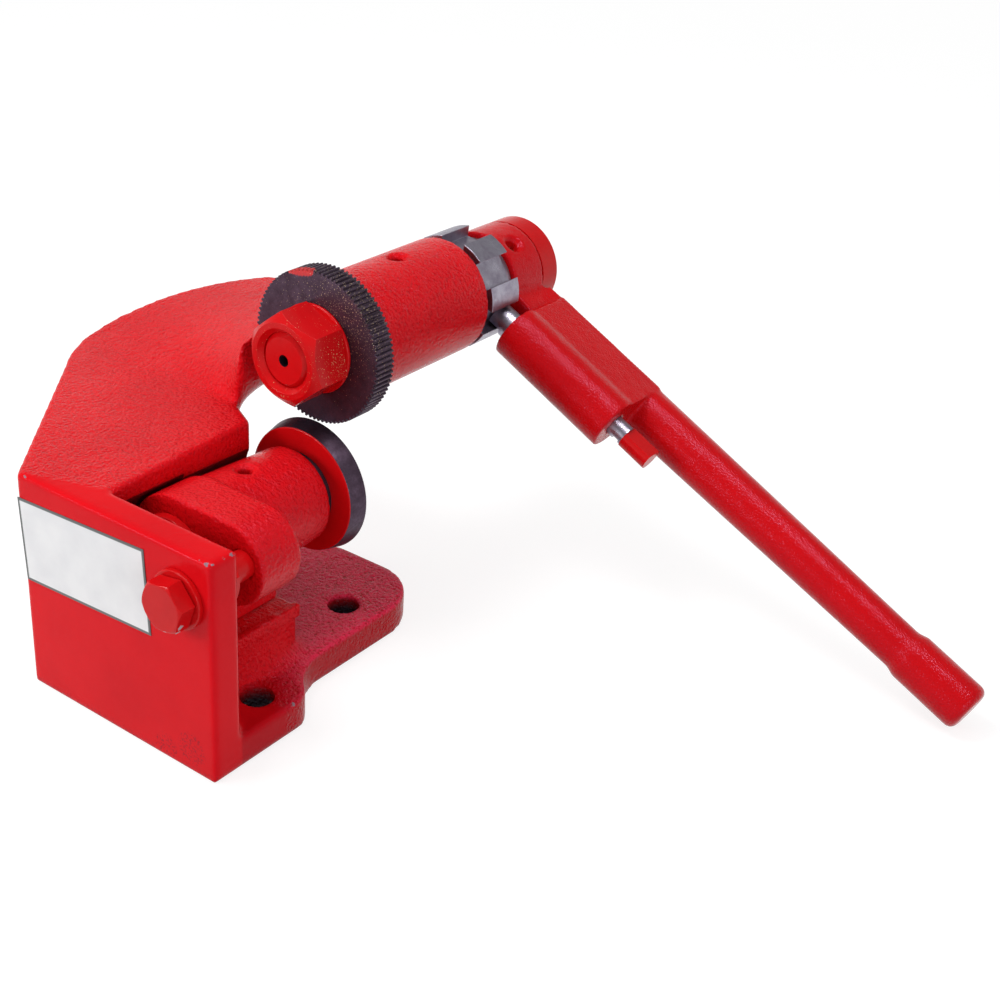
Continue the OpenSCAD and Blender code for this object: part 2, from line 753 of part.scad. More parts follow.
module frame() {
    color(red)
        difference() {
            frame_castings();
            at_lower() bar(2 * pocket_front_r, wall_rear, flange_rear + pocket_gap - wall_rear);
            at_lower() bar(2 * pocket_rear_r, flange_rear, arm_nose.y - flange_rear);
            at_upper() bar(upper_bush_d + 2 * snug, barrel_front - past, barrel_l + 2 * past);
            at_upper()
                translate([0, barrel_front + barrel_oil_y, 0]) oil_hole(barrel_d / 2);
            bar(wall_hole_d, wall_front - past, wall_t + 2 * past, adjusting_x, adjusting_z);
            for (p = [[rear_hole_x, rear_hole_y], [-rear_hole_x, rear_hole_y], [front_hole_x, front_hole_y]])
                translate([p.x, p.y, -past]) cylinder(d = base_hole_d, h = base_t + 2 * past);
            for (y = clamp_y) {
                clamp_slot(clamp_washer_d, y, -past, clamp_washer_top + face_gap + past);
                clamp_slot(clamp_d, y, 0, pad_top + past);
            }
        }
}

module upper_bush(y) {
    color(bronze) at_upper() ring(upper_bush_d, upper_shaft_d + 2 * running, y, upper_bush_l);
}

module upper_front_bush() {
    upper_bush(barrel_front);
}

module upper_rear_bush() {
    upper_bush(barrel_rear - upper_bush_l);
}

module blank_label() {
    color(label_white)
        slab(wall_front - label_t, label_t)
            translate([-label_x, table_h - label_drop])
                rotate(-label_tilt) square([label_w, label_h], center = true);
}

module adjusting_washer() {
    color(red)
        ring(adjusting_washer_d, wall_hole_d, wall_front - adjusting_washer_t, adjusting_washer_t,
            adjusting_x, adjusting_z);
}

module upper_shaft() {
    color(red)
        at_upper()
            difference() {
                union() {
                    bar(nose_d, shaft_front + nose_edge, upper_cutter_t - shaft_front - nose_edge);
                    translate([0, shaft_front, 0])
                        rotate([-90, 0, 0]) cylinder(r1 = nose_d / 2 - nose_edge, r2 = nose_d / 2, h = nose_edge);
                    bar(upper_shaft_d, upper_cutter_t, collar_rear - upper_cutter_t);
                }
                bar(centre_hole_d, shaft_front - past, centre_hole_l + past);
                key(nose_d / 2, (upper_cutter_t - cutter_key_l) / 2, cutter_key_l, snug);
                key(upper_shaft_d / 2, ratchet_front + past, ratchet_key_l, snug);
                collar_pin_shape(snug);
            }
}

module cutter_key() {
    color(steel) at_upper() key(nose_d / 2, (upper_cutter_t - cutter_key_l) / 2, cutter_key_l);
}

// Outline of the toothed rim: flat tips and flat roots
function tooth_points() = [
    for (i = [0:tooth_count - 1])
        for (corner = [[0, 0], [tooth_shares[0], 0], [tooth_shares[1], tooth_depth], [tooth_shares[2], tooth_depth]])
            let (a = (i + corner.x) * 360 / tooth_count)
                (upper_cutter_d / 2 - corner.y) * [cos(a), sin(a)]];

module upper_cutter() {
    color(dark_steel)
        at_upper()
            difference() {
                slab(0, upper_cutter_t) polygon(tooth_points());
                bar(nose_d + 2 * snug, -past, upper_cutter_t + 2 * past);
                key(nose_d / 2, -past, upper_cutter_t + 2 * past, snug);
            }
}

module cutter_washer() {
    color(red) at_upper() ring(cutter_washer_d, nose_d + 2 * snug, washer_front, cutter_washer_t);
}

module cutter_nut() {
    color(red)
        at_upper()
            difference() {
                hexagon(cutter_nut_af, nut_front, cutter_nut_t, cutter_nut_turn, true, false, round_share, round_slope);
                bar(nose_d + 2 * snug, nut_front - past, cutter_nut_t + 2 * past);
                translate([0, nut_front - past, 0])
                    rotate([-90, 0, 0])
                        cylinder(r1 = nose_d / 2 + nut_sink + past, r2 = nose_d / 2 + snug, h = nut_sink + past);
            }
}

module thrust_washer() {
    color(steel) at_upper() ring(thrust_d, upper_shaft_d + 2 * snug, thrust_front, thrust_t);
}

module ratchet_wheel() {
    color(steel)
        at_upper()
            difference() {
                union() {
                    bar(ratchet_d, ratchet_front, ratchet_t);
                    bar(ratchet_boss_d, ratchet_front + past, ratchet_t + ratchet_boss_t - past);
                }
                bar(upper_shaft_d + 2 * snug, ratchet_front - past, ratchet_rear - ratchet_front + 2 * past);
                key(upper_shaft_d / 2, ratchet_front - past, ratchet_rear - ratchet_front + 2 * past, snug);
                for (i = [0:slot_count - 1])
                    rotate([0, lever_angle - slot_lead - i * 360 / slot_count, 0])
                        translate([slot_root_r, ratchet_front - past, -slot_w / 2])
                            cube([ratchet_d, ratchet_t + 2 * past, slot_w]);
            }
}

module ratchet_key() {
    color(steel) at_upper() key(upper_shaft_d / 2, ratchet_front + past, ratchet_key_l);
}

// Pin straight through the collar and the shaft
module collar_pin_shape(grow = 0) {
    translate([0, collar_front + collar_t / 2, 0])
        rotate([0, 90 + collar_pin_turn, 0])
            cylinder(d = collar_pin_d + 2 * grow, h = collar_d * pin_share + 2 * grow, center = true);
}

module end_collar() {
    color(red)
        at_upper()
            difference() {
                ring(collar_d, upper_shaft_d + 2 * snug, collar_front, collar_t);
                translate([0, collar_front + collar_t / 2, 0])
                    rotate([0, 90 + collar_pin_turn, 0])
                        cylinder(d = collar_pin_d + 2 * snug, h = collar_d + 2 * past, center = true);
            }
}

module collar_pin() {
    color(red) at_upper() collar_pin_shape();
}

// Web whose flat top leaves the boss in a crease and covers the shank
module lever_web() {
    along_lever(boss_start, boss_l)
        polygon([
            web_crease, web_edge, [web_rear, -neck_boss_depth],
            [plunger_y + boss_r * cos(web_under), boss_r * sin(web_under)]]);
}

// Shank and grip, turned in one piece; they lean forward a little towards the grip
module lever_shank() {
    end = norm(shank_way);
    start = end - grip_l;
    edge = grip_edge_r;
    translate(shank_mid)
        rotate([0, acos(shank_way.z / end), atan2(shank_way.y, shank_way.x)])
            rotate_extrude()
                polygon(concat(
                    [[0, -boss_l / 2], [shank_r, -boss_l / 2], [shank_end_r, start], [grip_r, start + grip_slope_l]],
                    arc([grip_r - edge, end - edge], edge, 0, 90, 8),
                    [[0, end]]));
}

// Neck from the hub to the boss and the web, lower than both; its rear part runs beside the end collar
module lever_neck() {
    slab(hub_front + (hub_l - lever_neck_w) / 2, lever_neck_w)
        polygon([
            [0, saddle_hub_h], [boss_start + past, saddle_h],
            [boss_start + past, -neck_boss_depth], [0, -neck_hub_depth]]);
    start = collar_d / 2 + neck_gap;
    along_lever(start, boss_start + past - start)
        polygon([
            [hub_front + hub_l / 2, saddle_h], web_edge - [0, neck_dip],
            [web_rear, -neck_boss_depth], [hub_front + hub_l / 2, -neck_boss_depth]]);
}

module lever() {
    color(red)
        at_lever()
            difference() {
                union() {
                    bar(hub_d, hub_front, hub_l);
                    lever_neck();
                    translate([boss_start, plunger_y, 0])
                        rotate([0, 90, 0]) cylinder(r = boss_r, h = boss_l);
                    lever_web();
                    lever_shank();
                }
                bar(upper_bush_d + 2 * snug, hub_front - past, hub_l + 2 * past);
                translate([0, hub_front + hub_oil_y, 0])
                    rotate([0, 90 - hub_oil_turn, 0]) oil_hole(hub_d / 2);
                translate([boss_start - past, plunger_y, 0])
                    rotate([0, 90, 0])
                        cylinder(r = plunger_front_r + 2 * running, h = spring_end - boss_start + past);
                translate([boss_start, plunger_y, 0])
                    rotate([0, 90, 0]) cylinder(r = plunger_r + 2 * running, h = boss_l + past);
            }
}

module lever_bush() {
    color(bronze) at_lever() ring(upper_bush_d, upper_shaft_d + 2 * running, hub_front, hub_l);
}

module plunger_pawl() {
    cut = 4 * plunger_front_r;
    color(steel)
        at_lever()
            translate([0, plunger_y, 0])
                difference() {
                    rotate([0, 90, 0])
                        union() {
                            translate([0, 0, plunger_tip])
                                cylinder(r = plunger_front_r, h = plunger_front_end - plunger_tip);
                            translate([0, 0, plunger_tip + past]) cylinder(r = plunger_r, h = knob_start - plunger_tip - past);
                            translate([0, 0, plunger_front_end])
                                cylinder(r = spigot_r, h = spigot_end - plunger_front_end);
                        }
                    translate([0, -cut / 2, -cut - tip_flat]) cube([tip_end, cut, cut]);
                    translate([knob_start - plunger_notch_l, -cut / 2, -cut - tip_flat])
                        cube([plunger_notch_l - past, cut, cut]);
                    knob_pin_shape(snug);
                }
}

// Centre line of the plunger's spring
spring_sides = 6;
spring_rings = 8;
spring_mean_r = plunger_front_r - spring_wire / 2;
spring_start = plunger_front_end + face_gap + spring_wire / 2;
spring_rise = spring_room - 2 * face_gap - spring_wire;
function spring_at(i) =
    let (a = i * 360 / spring_rings)
    [spring_start + spring_rise * i / (spring_turns * spring_rings),
        spring_mean_r * cos(a), spring_mean_r * sin(a)];
spring_path = [for (i = [0:spring_turns * spring_rings]) spring_at(i)];

// Ring of wire round one point of the centre line
function spring_ring(i) =
    let (a = i * 360 / spring_rings)
    let (out = [0, cos(a), sin(a)])
    let (run = spring_rise / (spring_turns * 2 * PI))
    let (way = [run, -spring_mean_r * sin(a), spring_mean_r * cos(a)])
    let (across = cross(way, out) / norm(way))
    [for (k = [0:spring_sides - 1])
        let (b = k * 360 / spring_sides)
            spring_path[i] + spring_wire / 2 * (cos(b) * out + sin(b) * across)];

// Least gap between one turn of wire and the next
spring_self_gap = min([
    for (i = [0:len(spring_path) - 1])
        for (j = [i + spring_rings / 2:len(spring_path) - 1])
            norm(spring_path[i] - spring_path[j])]) - spring_wire;
echo(spring_self_gap = spring_self_gap);

module plunger_spring() {
    rings = [for (i = [0:len(spring_path) - 1]) spring_ring(i)];
    points = [for (r = rings) for (p = r) p];
    color(steel)
        at_lever()
            translate([0, plunger_y, 0]) polyhedron(points, tube_faces(len(rings), spring_sides));
}

// Pin across the knob and the plunger's spigot
module knob_pin_shape(grow = 0) {
    translate([(knob_start + spigot_end) / 2, 0, 0])
        rotate([90, 0, 0])
            cylinder(d = knob_pin_d + 2 * grow, h = 2 * knob_r * pin_share + 2 * grow, center = true);
}

module plunger_knob() {
    color(red)
        at_lever()
            translate([0, plunger_y, 0])
                difference() {
                    translate([knob_start, 0, 0]) rotate([0, 90, 0]) cylinder(r = knob_r, h = knob_l);
                    translate([knob_start - past, 0, 0])
                        rotate([0, 90, 0])
                            cylinder(r = spigot_r + snug, h = spigot_end + face_gap - knob_start + past);
                    translate([knob_start - past, -2 * knob_r, knob_flat])
                        cube([knob_l + 2 * past, 4 * knob_r, 2 * knob_r]);
                    translate([(knob_start + spigot_end) / 2, 0, 0])
                        rotate([90, 0, 0])
                            cylinder(d = knob_pin_d + 2 * snug, h = 4 * knob_r, center = true);
                }
}

module knob_pin() {
    color(steel) at_lever() translate([0, plunger_y, 0]) knob_pin_shape();
}

// Front flange of the carriage: a round end and a side lobe, joined along their tangents
module carriage_flange() {
    d = [side_lobe_x, side_lobe_z];
    lean = atan2(d.y, d.x);
    side = acos((flange_r - side_lobe_r) / norm(d));
    up = [cos(lean + side), sin(lean + side)];
    down = [cos(lean - side), sin(lean - side)];
    bar(2 * flange_r, carriage_front, flange_t);
    bar(2 * side_lobe_r, carriage_front, flange_t, d.x, d.y);
    slab(carriage_front, flange_t)
        polygon([flange_r * up, d + side_lobe_r * up, d + side_lobe_r * down, flange_r * down]);
}

module carriage() {
    foot_h = lower_axis_z - foot_bottom;
    color(red)
        difference() {
            union() {
                at_lower() carriage_flange();
                at_lower()
                    translate([0, carriage_front, 0])
                        rotate([-90, 0, 0]) cylinder(r1 = carriage_r, r2 = carriage_rear_r, h = carriage_l);
                translate([-foot_w / 2, carriage_front, foot_bottom]) cube([foot_w, foot_l, foot_h]);
            }
            at_lower() bar(lower_bush_d + 2 * snug, carriage_front - past, carriage_l + 2 * past);
            bar(adjusting_d + 2 * running, carriage_front - past, tapped_l + past, adjusting_x, adjusting_z);
            at_lower()
                translate([0, carriage_rear - carriage_oil_y, 0])
                    oil_hole(carriage_rear_r + (carriage_r - carriage_rear_r) * carriage_oil_y / carriage_l);
            for (y = clamp_y)
                translate([0, y, foot_bottom - past])
                    cylinder(d = clamp_d + 2 * snug, h = clamp_end + face_gap - foot_bottom + past);
        }
}

module lower_bush(y) {
    color(bronze) at_lower() ring(lower_bush_d, lower_shaft_d + 2 * running, y, lower_bush_l);
}

module lower_front_bush() {
    lower_bush(carriage_front);
}

module lower_rear_bush() {
    lower_bush(carriage_rear - lower_bush_l);
}

module clamp_screws() {
    socket_af = clamp_d * cap_socket;
    color(steel)
        for (y = clamp_y)
            translate([0, y, 0])
                difference() {
                    union() {
                        translate([0, 0, clamp_setin]) cylinder(d = clamp_head_d, h = clamp_head_t);
                        translate([0, 0, clamp_setin]) cylinder(d = clamp_d, h = clamp_end - clamp_setin);
                    }
                    translate([0, 0, clamp_setin - past])
                        cylinder(d = socket_af / cos(30), h = clamp_head_t / 2 + past, $fn = 6);
                }
}

module clamp_washers() {
    color(steel)
        for (y = clamp_y)
            translate([0, y, clamp_head_top])
                difference() {
                    cylinder(d = clamp_washer_d, h = clamp_washer_t);
                    translate([0, 0, -past]) cylinder(d = clamp_d + 2 * running, h = clamp_washer_t + 2 * past);
                }
}

// Countersunk screw that holds the lower cutter, with its head level with the cutter
module cutter_screw_shape(grow = 0) {
    sink = (cutter_screw_head_d - cutter_screw_d) / 2;
    translate([0, lower_cutter_rear - sink, 0])
        rotate([-90, 0, 0])
            cylinder(d1 = cutter_screw_d + 2 * grow, d2 = cutter_screw_head_d + 2 * grow, h = sink + grow / 10);
    bar(cutter_screw_d + 2 * grow, lower_cutter_rear - cutter_screw_l - grow, cutter_screw_l - sink + 2 * grow);
}

module lower_shaft() {
    spigot_setin = (cutter_screw_head_d - cutter_spigot_d) / 2 + face_gap;
    color(steel)
        at_lower()
            difference() {
                union() {
                    bar(cutter_spigot_d, lower_cutter_front, lower_cutter_t - spigot_setin);
                    bar(shaft_flange_d, shaft_flange_front, shaft_flange_t);
                    bar(lower_shaft_d, lower_collar_rear, shaft_flange_front - lower_collar_rear);
                    bar(lower_thread_d, lower_shaft_front, lower_collar_rear - lower_shaft_front);
                }
                cutter_screw_shape(snug);
            }
}

module lower_cutter() {
    color(dark_steel)
        at_lower()
            difference() {
                translate([0, lower_cutter_front, 0])
                    rotate([-90, 0, 0])
                        cylinder(r1 = lower_cutter_d / 2 - lower_cutter_taper, r2 = lower_cutter_d / 2,
                            h = lower_cutter_t);
                bar(cutter_spigot_d + 2 * snug, lower_cutter_front - past, lower_cutter_t + 2 * past);
                cutter_screw_shape(snug);
            }
}

module lower_cutter_screw() {
    socket_af = cutter_screw_d * sunk_socket;
    color(steel)
        at_lower()
            difference() {
                cutter_screw_shape();
                slab(lower_cutter_rear - cutter_screw_d / 2, cutter_screw_d)
                    circle(d = socket_af / cos(30), $fn = 6);
            }
}

module lower_collar() {
    color(red) at_lower() ring(lower_collar_d, lower_thread_d + 2 * snug, lower_collar_front, lower_collar_t);
}

module lower_nut() {
    color(red)
        at_lower()
            difference() {
                hexagon(lower_nut_af, lower_nut_front, lower_nut_t, 0, true, false);
                bar(lower_thread_d + 2 * snug, lower_nut_front - past, lower_nut_t + 2 * past);
            }
}

module adjusting_bolt() {
    color(red)
        translate([adjusting_x, 0, adjusting_z]) {
            hexagon(adjusting_af, bolt_head_rear - adjusting_head_t, adjusting_head_t, head_turn, true, false);
            bar(adjusting_d, bolt_head_rear, bolt_end - bolt_head_rear);
        }
}

module lock_nut() {
    color(red)
        translate([adjusting_x, 0, adjusting_z])
            difference() {
                hexagon(adjusting_af, lock_nut_front, lock_nut_t, lock_nut_turn);
                bar(adjusting_d + 2 * snug, lock_nut_front - past, lock_nut_t + 2 * past);
            }
}

frame();
upper_front_bush();
upper_rear_bush();
blank_label();
adjusting_washer();
upper_shaft();
cutter_key();
upper_cutter();
cutter_washer();
cutter_nut();
thrust_washer();
ratchet_wheel();
ratchet_key();
end_collar();
collar_pin();
lever();
lever_bush();
plunger_pawl();
plunger_spring();
plunger_knob();
knob_pin();
carriage();
lower_front_bush();
lower_rear_bush();
clamp_screws();
clamp_washers();
lower_shaft();
lower_cutter();
lower_cutter_screw();
lower_collar();
lower_nut();
adjusting_bolt();
lock_nut();
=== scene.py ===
import json
import math
import bpy
import bmesh
import numpy as np
from mathutils import Matrix, Vector

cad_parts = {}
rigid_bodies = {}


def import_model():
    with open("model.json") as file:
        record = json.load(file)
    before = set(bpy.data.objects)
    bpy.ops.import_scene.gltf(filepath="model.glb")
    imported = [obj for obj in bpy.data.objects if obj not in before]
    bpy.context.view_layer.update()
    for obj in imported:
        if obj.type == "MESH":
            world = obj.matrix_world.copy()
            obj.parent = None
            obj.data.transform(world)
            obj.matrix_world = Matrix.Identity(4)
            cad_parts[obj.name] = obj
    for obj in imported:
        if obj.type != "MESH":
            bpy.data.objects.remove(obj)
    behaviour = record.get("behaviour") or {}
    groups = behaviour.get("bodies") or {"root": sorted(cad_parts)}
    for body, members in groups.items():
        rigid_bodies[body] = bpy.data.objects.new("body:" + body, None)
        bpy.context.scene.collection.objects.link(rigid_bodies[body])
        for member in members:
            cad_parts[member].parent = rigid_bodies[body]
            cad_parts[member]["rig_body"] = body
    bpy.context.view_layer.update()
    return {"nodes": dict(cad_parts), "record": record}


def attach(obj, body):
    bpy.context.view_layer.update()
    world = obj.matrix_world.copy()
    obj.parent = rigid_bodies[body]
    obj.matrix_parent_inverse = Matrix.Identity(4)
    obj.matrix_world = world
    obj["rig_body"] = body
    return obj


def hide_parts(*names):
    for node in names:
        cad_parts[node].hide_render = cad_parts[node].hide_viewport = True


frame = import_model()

nodes = frame["nodes"]
record = frame["record"]
slotOf = {part["node"]: part["material_slot"] for part in record["subparts"]}
scene = bpy.context.scene
print("frame loaded,", len(nodes), "nodes")

# places that the frame gives

right = (1, 0, 0)
back = (0, 1, 0)
up = (0, 0, 1)
joints = {joint["name"]: joint for joint in record["behaviour"]["joints"]}
spindleZ = joints["spindle_spin"]["pos_m"][2]
lowerZ = joints["lower_spin"]["pos_m"][2]
boltX, boltZ = joints["adjust_turn"]["pos_m"][::2]
plungerWay = tuple(joints["pawl_pull"]["axis"])
bores = [mount for mount in record["mounts"] if mount["kind"] == "bore"]
boltHoles = [(mount["pos_m"][0], mount["pos_m"][1], mount["dims"]["r_mm"] / 1000) for mount in bores]


# node helpers for the finishes

def startFinish(name):
    mat = bpy.data.materials.new(name)
    mat.use_nodes = True
    tree = mat.node_tree
    coords = tree.nodes.new("ShaderNodeTexCoord").outputs["Object"]
    return mat, tree, tree.nodes["Principled BSDF"], coords


def link(tree, value, socket):
    if isinstance(value, bpy.types.NodeSocket):
        tree.links.new(value, socket)
    else:
        socket.default_value = value


def placed(tree, coords, middle=(0, 0, 0), turn=(0, 0, 0), stretch=(1, 1, 1)):
    node = tree.nodes.new("ShaderNodeMapping")
    node.vector_type = "TEXTURE"
    node.inputs["Location"].default_value = middle
    node.inputs["Rotation"].default_value = [math.radians(a) for a in turn]
    node.inputs["Scale"].default_value = stretch
    tree.links.new(coords, node.inputs["Vector"])
    return node.outputs["Vector"]


def grain(tree, coords, size, detail=2.0, rough=0.5):  # size of one grain in metres
    node = tree.nodes.new("ShaderNodeTexNoise")
    node.inputs["Scale"].default_value = 1 / size
    node.inputs["Detail"].default_value = detail
    node.inputs["Roughness"].default_value = rough
    tree.links.new(coords, node.inputs["Vector"])
    return node.outputs[0]


def span(tree, value, low, high, toLow=0.0, toHigh=1.0, soft=False):
    node = tree.nodes.new("ShaderNodeMapRange")
    node.interpolation_type = "SMOOTHSTEP" if soft else "LINEAR"
    tree.links.new(value, node.inputs["Value"])
    for key, number in (("From Min", low), ("From Max", high), ("To Min", toLow), ("To Max", toHigh)):
        node.inputs[key].default_value = number
    return node.outputs["Result"]


def maths(tree, how, a, b):
    node = tree.nodes.new("ShaderNodeMath")
    node.operation = how
    link(tree, a, node.inputs[0])
    link(tree, b, node.inputs[1])
    return node.outputs[0]


def times(tree, first, *others):
    for other in others:
        first = maths(tree, "MULTIPLY", first, other)
    return first


def tint(tree, share, a, b):
    node = tree.nodes.new("ShaderNodeMix")
    node.data_type = "RGBA"
    link(tree, share, node.inputs[0])
    link(tree, a if isinstance(a, bpy.types.NodeSocket) else (*a, 1), node.inputs[6])
    link(tree, b if isinstance(b, bpy.types.NodeSocket) else (*b, 1), node.inputs[7])
    return node.outputs[2]


def relief(tree, height, depth, strength, under=None):
    node = tree.nodes.new("ShaderNodeBump")
    node.inputs["Distance"].default_value = depth
    link(tree, strength, node.inputs["Strength"])
    tree.links.new(height, node.inputs["Height"])
    if under:
        tree.links.new(under, node.inputs["Normal"])
    return node.outputs["Normal"]


def along(tree, coords, way, start=(0, 0, 0)):  # distance of a point from a plane
    node = tree.nodes.new("ShaderNodeVectorMath")
    node.operation = "DOT_PRODUCT"
    tree.links.new(coords, node.inputs[0])
    node.inputs[1].default_value = way
    return maths(tree, "SUBTRACT", node.outputs["Value"], Vector(way).dot(Vector(start)))


def distance(tree, coords, point):
    node = tree.nodes.new("ShaderNodeVectorMath")
    node.operation = "DISTANCE"
    tree.links.new(coords, node.inputs[0])
    node.inputs[1].default_value = point
    return node.outputs["Value"]


chipLook = {"grain": 0.0010, "detail": 4, "rough": 0.7, "cut": (0.25, 0.75), "ragged": 0.0007, "core": 0.75}


def chips(tree, coords, places, ragged=chipLook["ragged"]):  # ragged spots, each a middle and a radius
    shake = grain(tree, coords, chipLook["grain"], chipLook["detail"], chipLook["rough"])
    shake = span(tree, shake, *chipLook["cut"], -ragged, ragged)
    mask = None
    for middle, radius in places:
        far = maths(tree, "ADD", distance(tree, coords, middle), shake)
        spot = span(tree, far, radius, chipLook["core"] * radius, soft=True)
        mask = maths(tree, "MAXIMUM", mask, spot) if mask else spot
    return mask


filingLook = {"grain": 0.00055, "rough": 0.6, "core": 0.2, "gain": 0.09, "cut": (0.70, 0.74)}


def filings(tree, coords, middle, reach):  # fine metal dust, thicker near one place
    far = distance(tree, coords, middle)
    near = span(tree, far, reach, filingLook["core"] * reach, 0.0, filingLook["gain"])
    fine = grain(tree, coords, filingLook["grain"], rough=filingLook["rough"])
    return span(tree, maths(tree, "ADD", fine, near), *filingLook["cut"])


# marks of the frame: painted sheen on the base's rear lobe, painted shade on the base beside the wall, in
# the bolt holes and in the cut over the carriage, a darker grainy band along the bottom, and chips

flattened = 1e6  # stretch that makes a texture blind to one axis
# painted shade: the near-black colour and extent of the darkened bolt-hole walls
holeShadeLook = {"colour": (0.02, 0.003, 0.005), "wall": (0.0004, 0.0001), "depth": (0.0124, 0.0064)}
# painted shade: the cut over the carriage, darkened nearly to black and made dull
pocketShadeLook = {"radii": (0.0229, 0.0218), "step": (-0.0510, -0.0504), "edge": 0.0004,
              "front": (-0.0795, -0.0775), "bottom": (0.045, 0.047), "share": 0.8, "dull": 0.9}
# painted shade: where the base right of the wall is darkened
baseShadeLook = {"top": (0.0128, 0.0122), "wall": (-0.0855, -0.0845), "left": (-0.020, 0.005), "share": 0.5}
# painted sheen: a lighter, purplish red on the top of the base's rear lobe, standing in for its reflection
lobeSheenLook = {"colour": (0.74, 0.026, 0.075), "way": (0.6, 0.8, 0), "start": (0.03, -0.045, 0),
            "fade": (-0.012, 0.014), "above": (0.016, 0.012), "below": (0.0100, 0.0114)}
# darker and grainy towards the bottom of the frame and at two spots on the base's front
lowDarkLook = {"colour": (0.07, 0.012, 0.022), "grain": 0.0009, "detail": 4, "rough": 0.7, "cut": (0.49, 0.64),
            "low": 0.004, "share": 0.55,
            "spots": [((0.034, -0.097, 0.009), 0.007), ((0.022, -0.097, 0.004), 0.006)]}
frameChips = [
    ((0.0402, -0.0968, 0.0826), 0.0008), ((0.0428, -0.0968, 0.0824), 0.0011),
    ((0.0446, -0.0952, 0.0825), 0.0009), ((0.0448, -0.0905, 0.0826), 0.0009),
    ((0.0448, -0.0872, 0.0825), 0.0013), ((-0.0415, -0.0966, 0.0826), 0.0009),
    ((0.0449, -0.0600, 0.0119), 0.0011),
]


# painted shade: the walls of the base's bolt holes are darkened nearly to black
def holeShadeShare(tree, coords):  # walls of the base's bolt holes
    flat = placed(tree, coords, stretch=(1, 1, flattened))
    share = None
    for x, y, radius in boltHoles:
        outer, inner = holeShadeLook["wall"]
        one = span(tree, distance(tree, flat, (x, y, 0)), radius + outer, radius + inner)
        share = maths(tree, "MAXIMUM", share, one) if share else one
    return times(tree, share, span(tree, along(tree, coords, up), *holeShadeLook["depth"]))


# painted shade: the cut over the carriage is darkened nearly to black; the same mask also makes it dull
def pocketShadeShare(tree, coords):  # the dull cut over the carriage
    far = distance(tree, placed(tree, coords, stretch=(1, flattened, 1)), (0, 0, lowerZ))
    y = along(tree, coords, back)
    limit = span(tree, y, *pocketShadeLook["step"], *pocketShadeLook["radii"])
    near = span(tree, maths(tree, "SUBTRACT", far, limit), pocketShadeLook["edge"], 0.0)
    return times(tree, near, span(tree, y, *pocketShadeLook["front"]),
                 span(tree, along(tree, coords, up), *pocketShadeLook["bottom"]))


def frameMarks(tree, coords, colour, pits, pocketShade):
    x, y, z = (along(tree, coords, way) for way in (right, back, up))
    # painted shade: the base right of the wall is darkened half-way toward the deep red
    floor = times(tree, span(tree, z, *baseShadeLook["top"]), span(tree, y, *baseShadeLook["wall"]),
                  span(tree, x, *baseShadeLook["left"], soft=True))
    colour = tint(tree, times(tree, floor, baseShadeLook["share"]), colour, castPaint["deep"])
    # painted sheen on the top of the base's rear lobe, kept out of the pits
    lobeSheen = span(tree, along(tree, coords, lobeSheenLook["way"], lobeSheenLook["start"]), *lobeSheenLook["fade"], soft=True)
    lobeSheen = times(tree, lobeSheen, span(tree, z, *lobeSheenLook["above"]), span(tree, z, *lobeSheenLook["below"]))
    colour = tint(tree, times(tree, lobeSheen, maths(tree, "SUBTRACT", 1.0, pits)), colour, lobeSheenLook["colour"])
    # painted shade in the bolt holes
    colour = tint(tree, holeShadeShare(tree, coords), colour, holeShadeLook["colour"])
    # painted shade in the cut over the carriage
    colour = tint(tree, times(tree, pocketShade, pocketShadeLook["share"]), colour, holeShadeLook["colour"])
    # darker and grainy towards the bottom of the frame and at two spots on the base's front
    low = span(tree, z, lowDarkLook["low"], 0.0, soft=True)
    darkPlaces = maths(tree, "MAXIMUM", low, chips(tree, coords, lowDarkLook["spots"]))
    fine = grain(tree, coords, lowDarkLook["grain"], lowDarkLook["detail"], lowDarkLook["rough"])
    darkening = times(tree, darkPlaces, span(tree, fine, *lowDarkLook["cut"]), lowDarkLook["share"])
    colour = tint(tree, darkening, colour, lowDarkLook["colour"])
    return tint(tree, chips(tree, coords, frameChips), colour, castPaint["bare"])


# red paint over sand-cast iron, smoother where the casting was ground

castPaint = {
    # the lever's red is the frame's red darkened: painted shade for the lesser light on the lever
    "red": (0.70, 0.005, 0.009), "leverShadedRed": (0.58, 0.004, 0.006), "deep": (0.30, 0.001, 0.004),
    "bare": (0.26, 0.17, 0.20), "patch": 0.03, "patchCut": (0.35, 0.75), "patchShare": 0.22,
    "lump": 0.0050, "lumpDepth": 0.0006, "sand": 0.00115, "leverSand": 0.0007, "sandDepth": 0.8,
    "pitCut": (0.48, 0.30), "pitShare": 0.38, "pieceRelief": 0.8, "leverRelief": 0.4,
    "speck": 0.0007, "speckDepth": 0.00004, "speckStrength": 0.6,
    "gloss": (0.11, 0.20), "glossCut": (0.25, 0.75),
    "ior": 1.15, "glaze": (0.8, 0.6, 1.0, 1), "frameShine": 0.6,
}
groundLook = {"way": (-0.3454, 0.9385, 0), "start": (-0.045, -0.097, 0), "fade": (-0.001, 0.002),
              "left": 0.08}


def groundWall(tree, coords):  # the wall and its top are smooth up to a line across the corner
    far = along(tree, coords, groundLook["way"], groundLook["start"])
    return span(tree, far, *groundLook["fade"], groundLook["left"], 1.0, True)


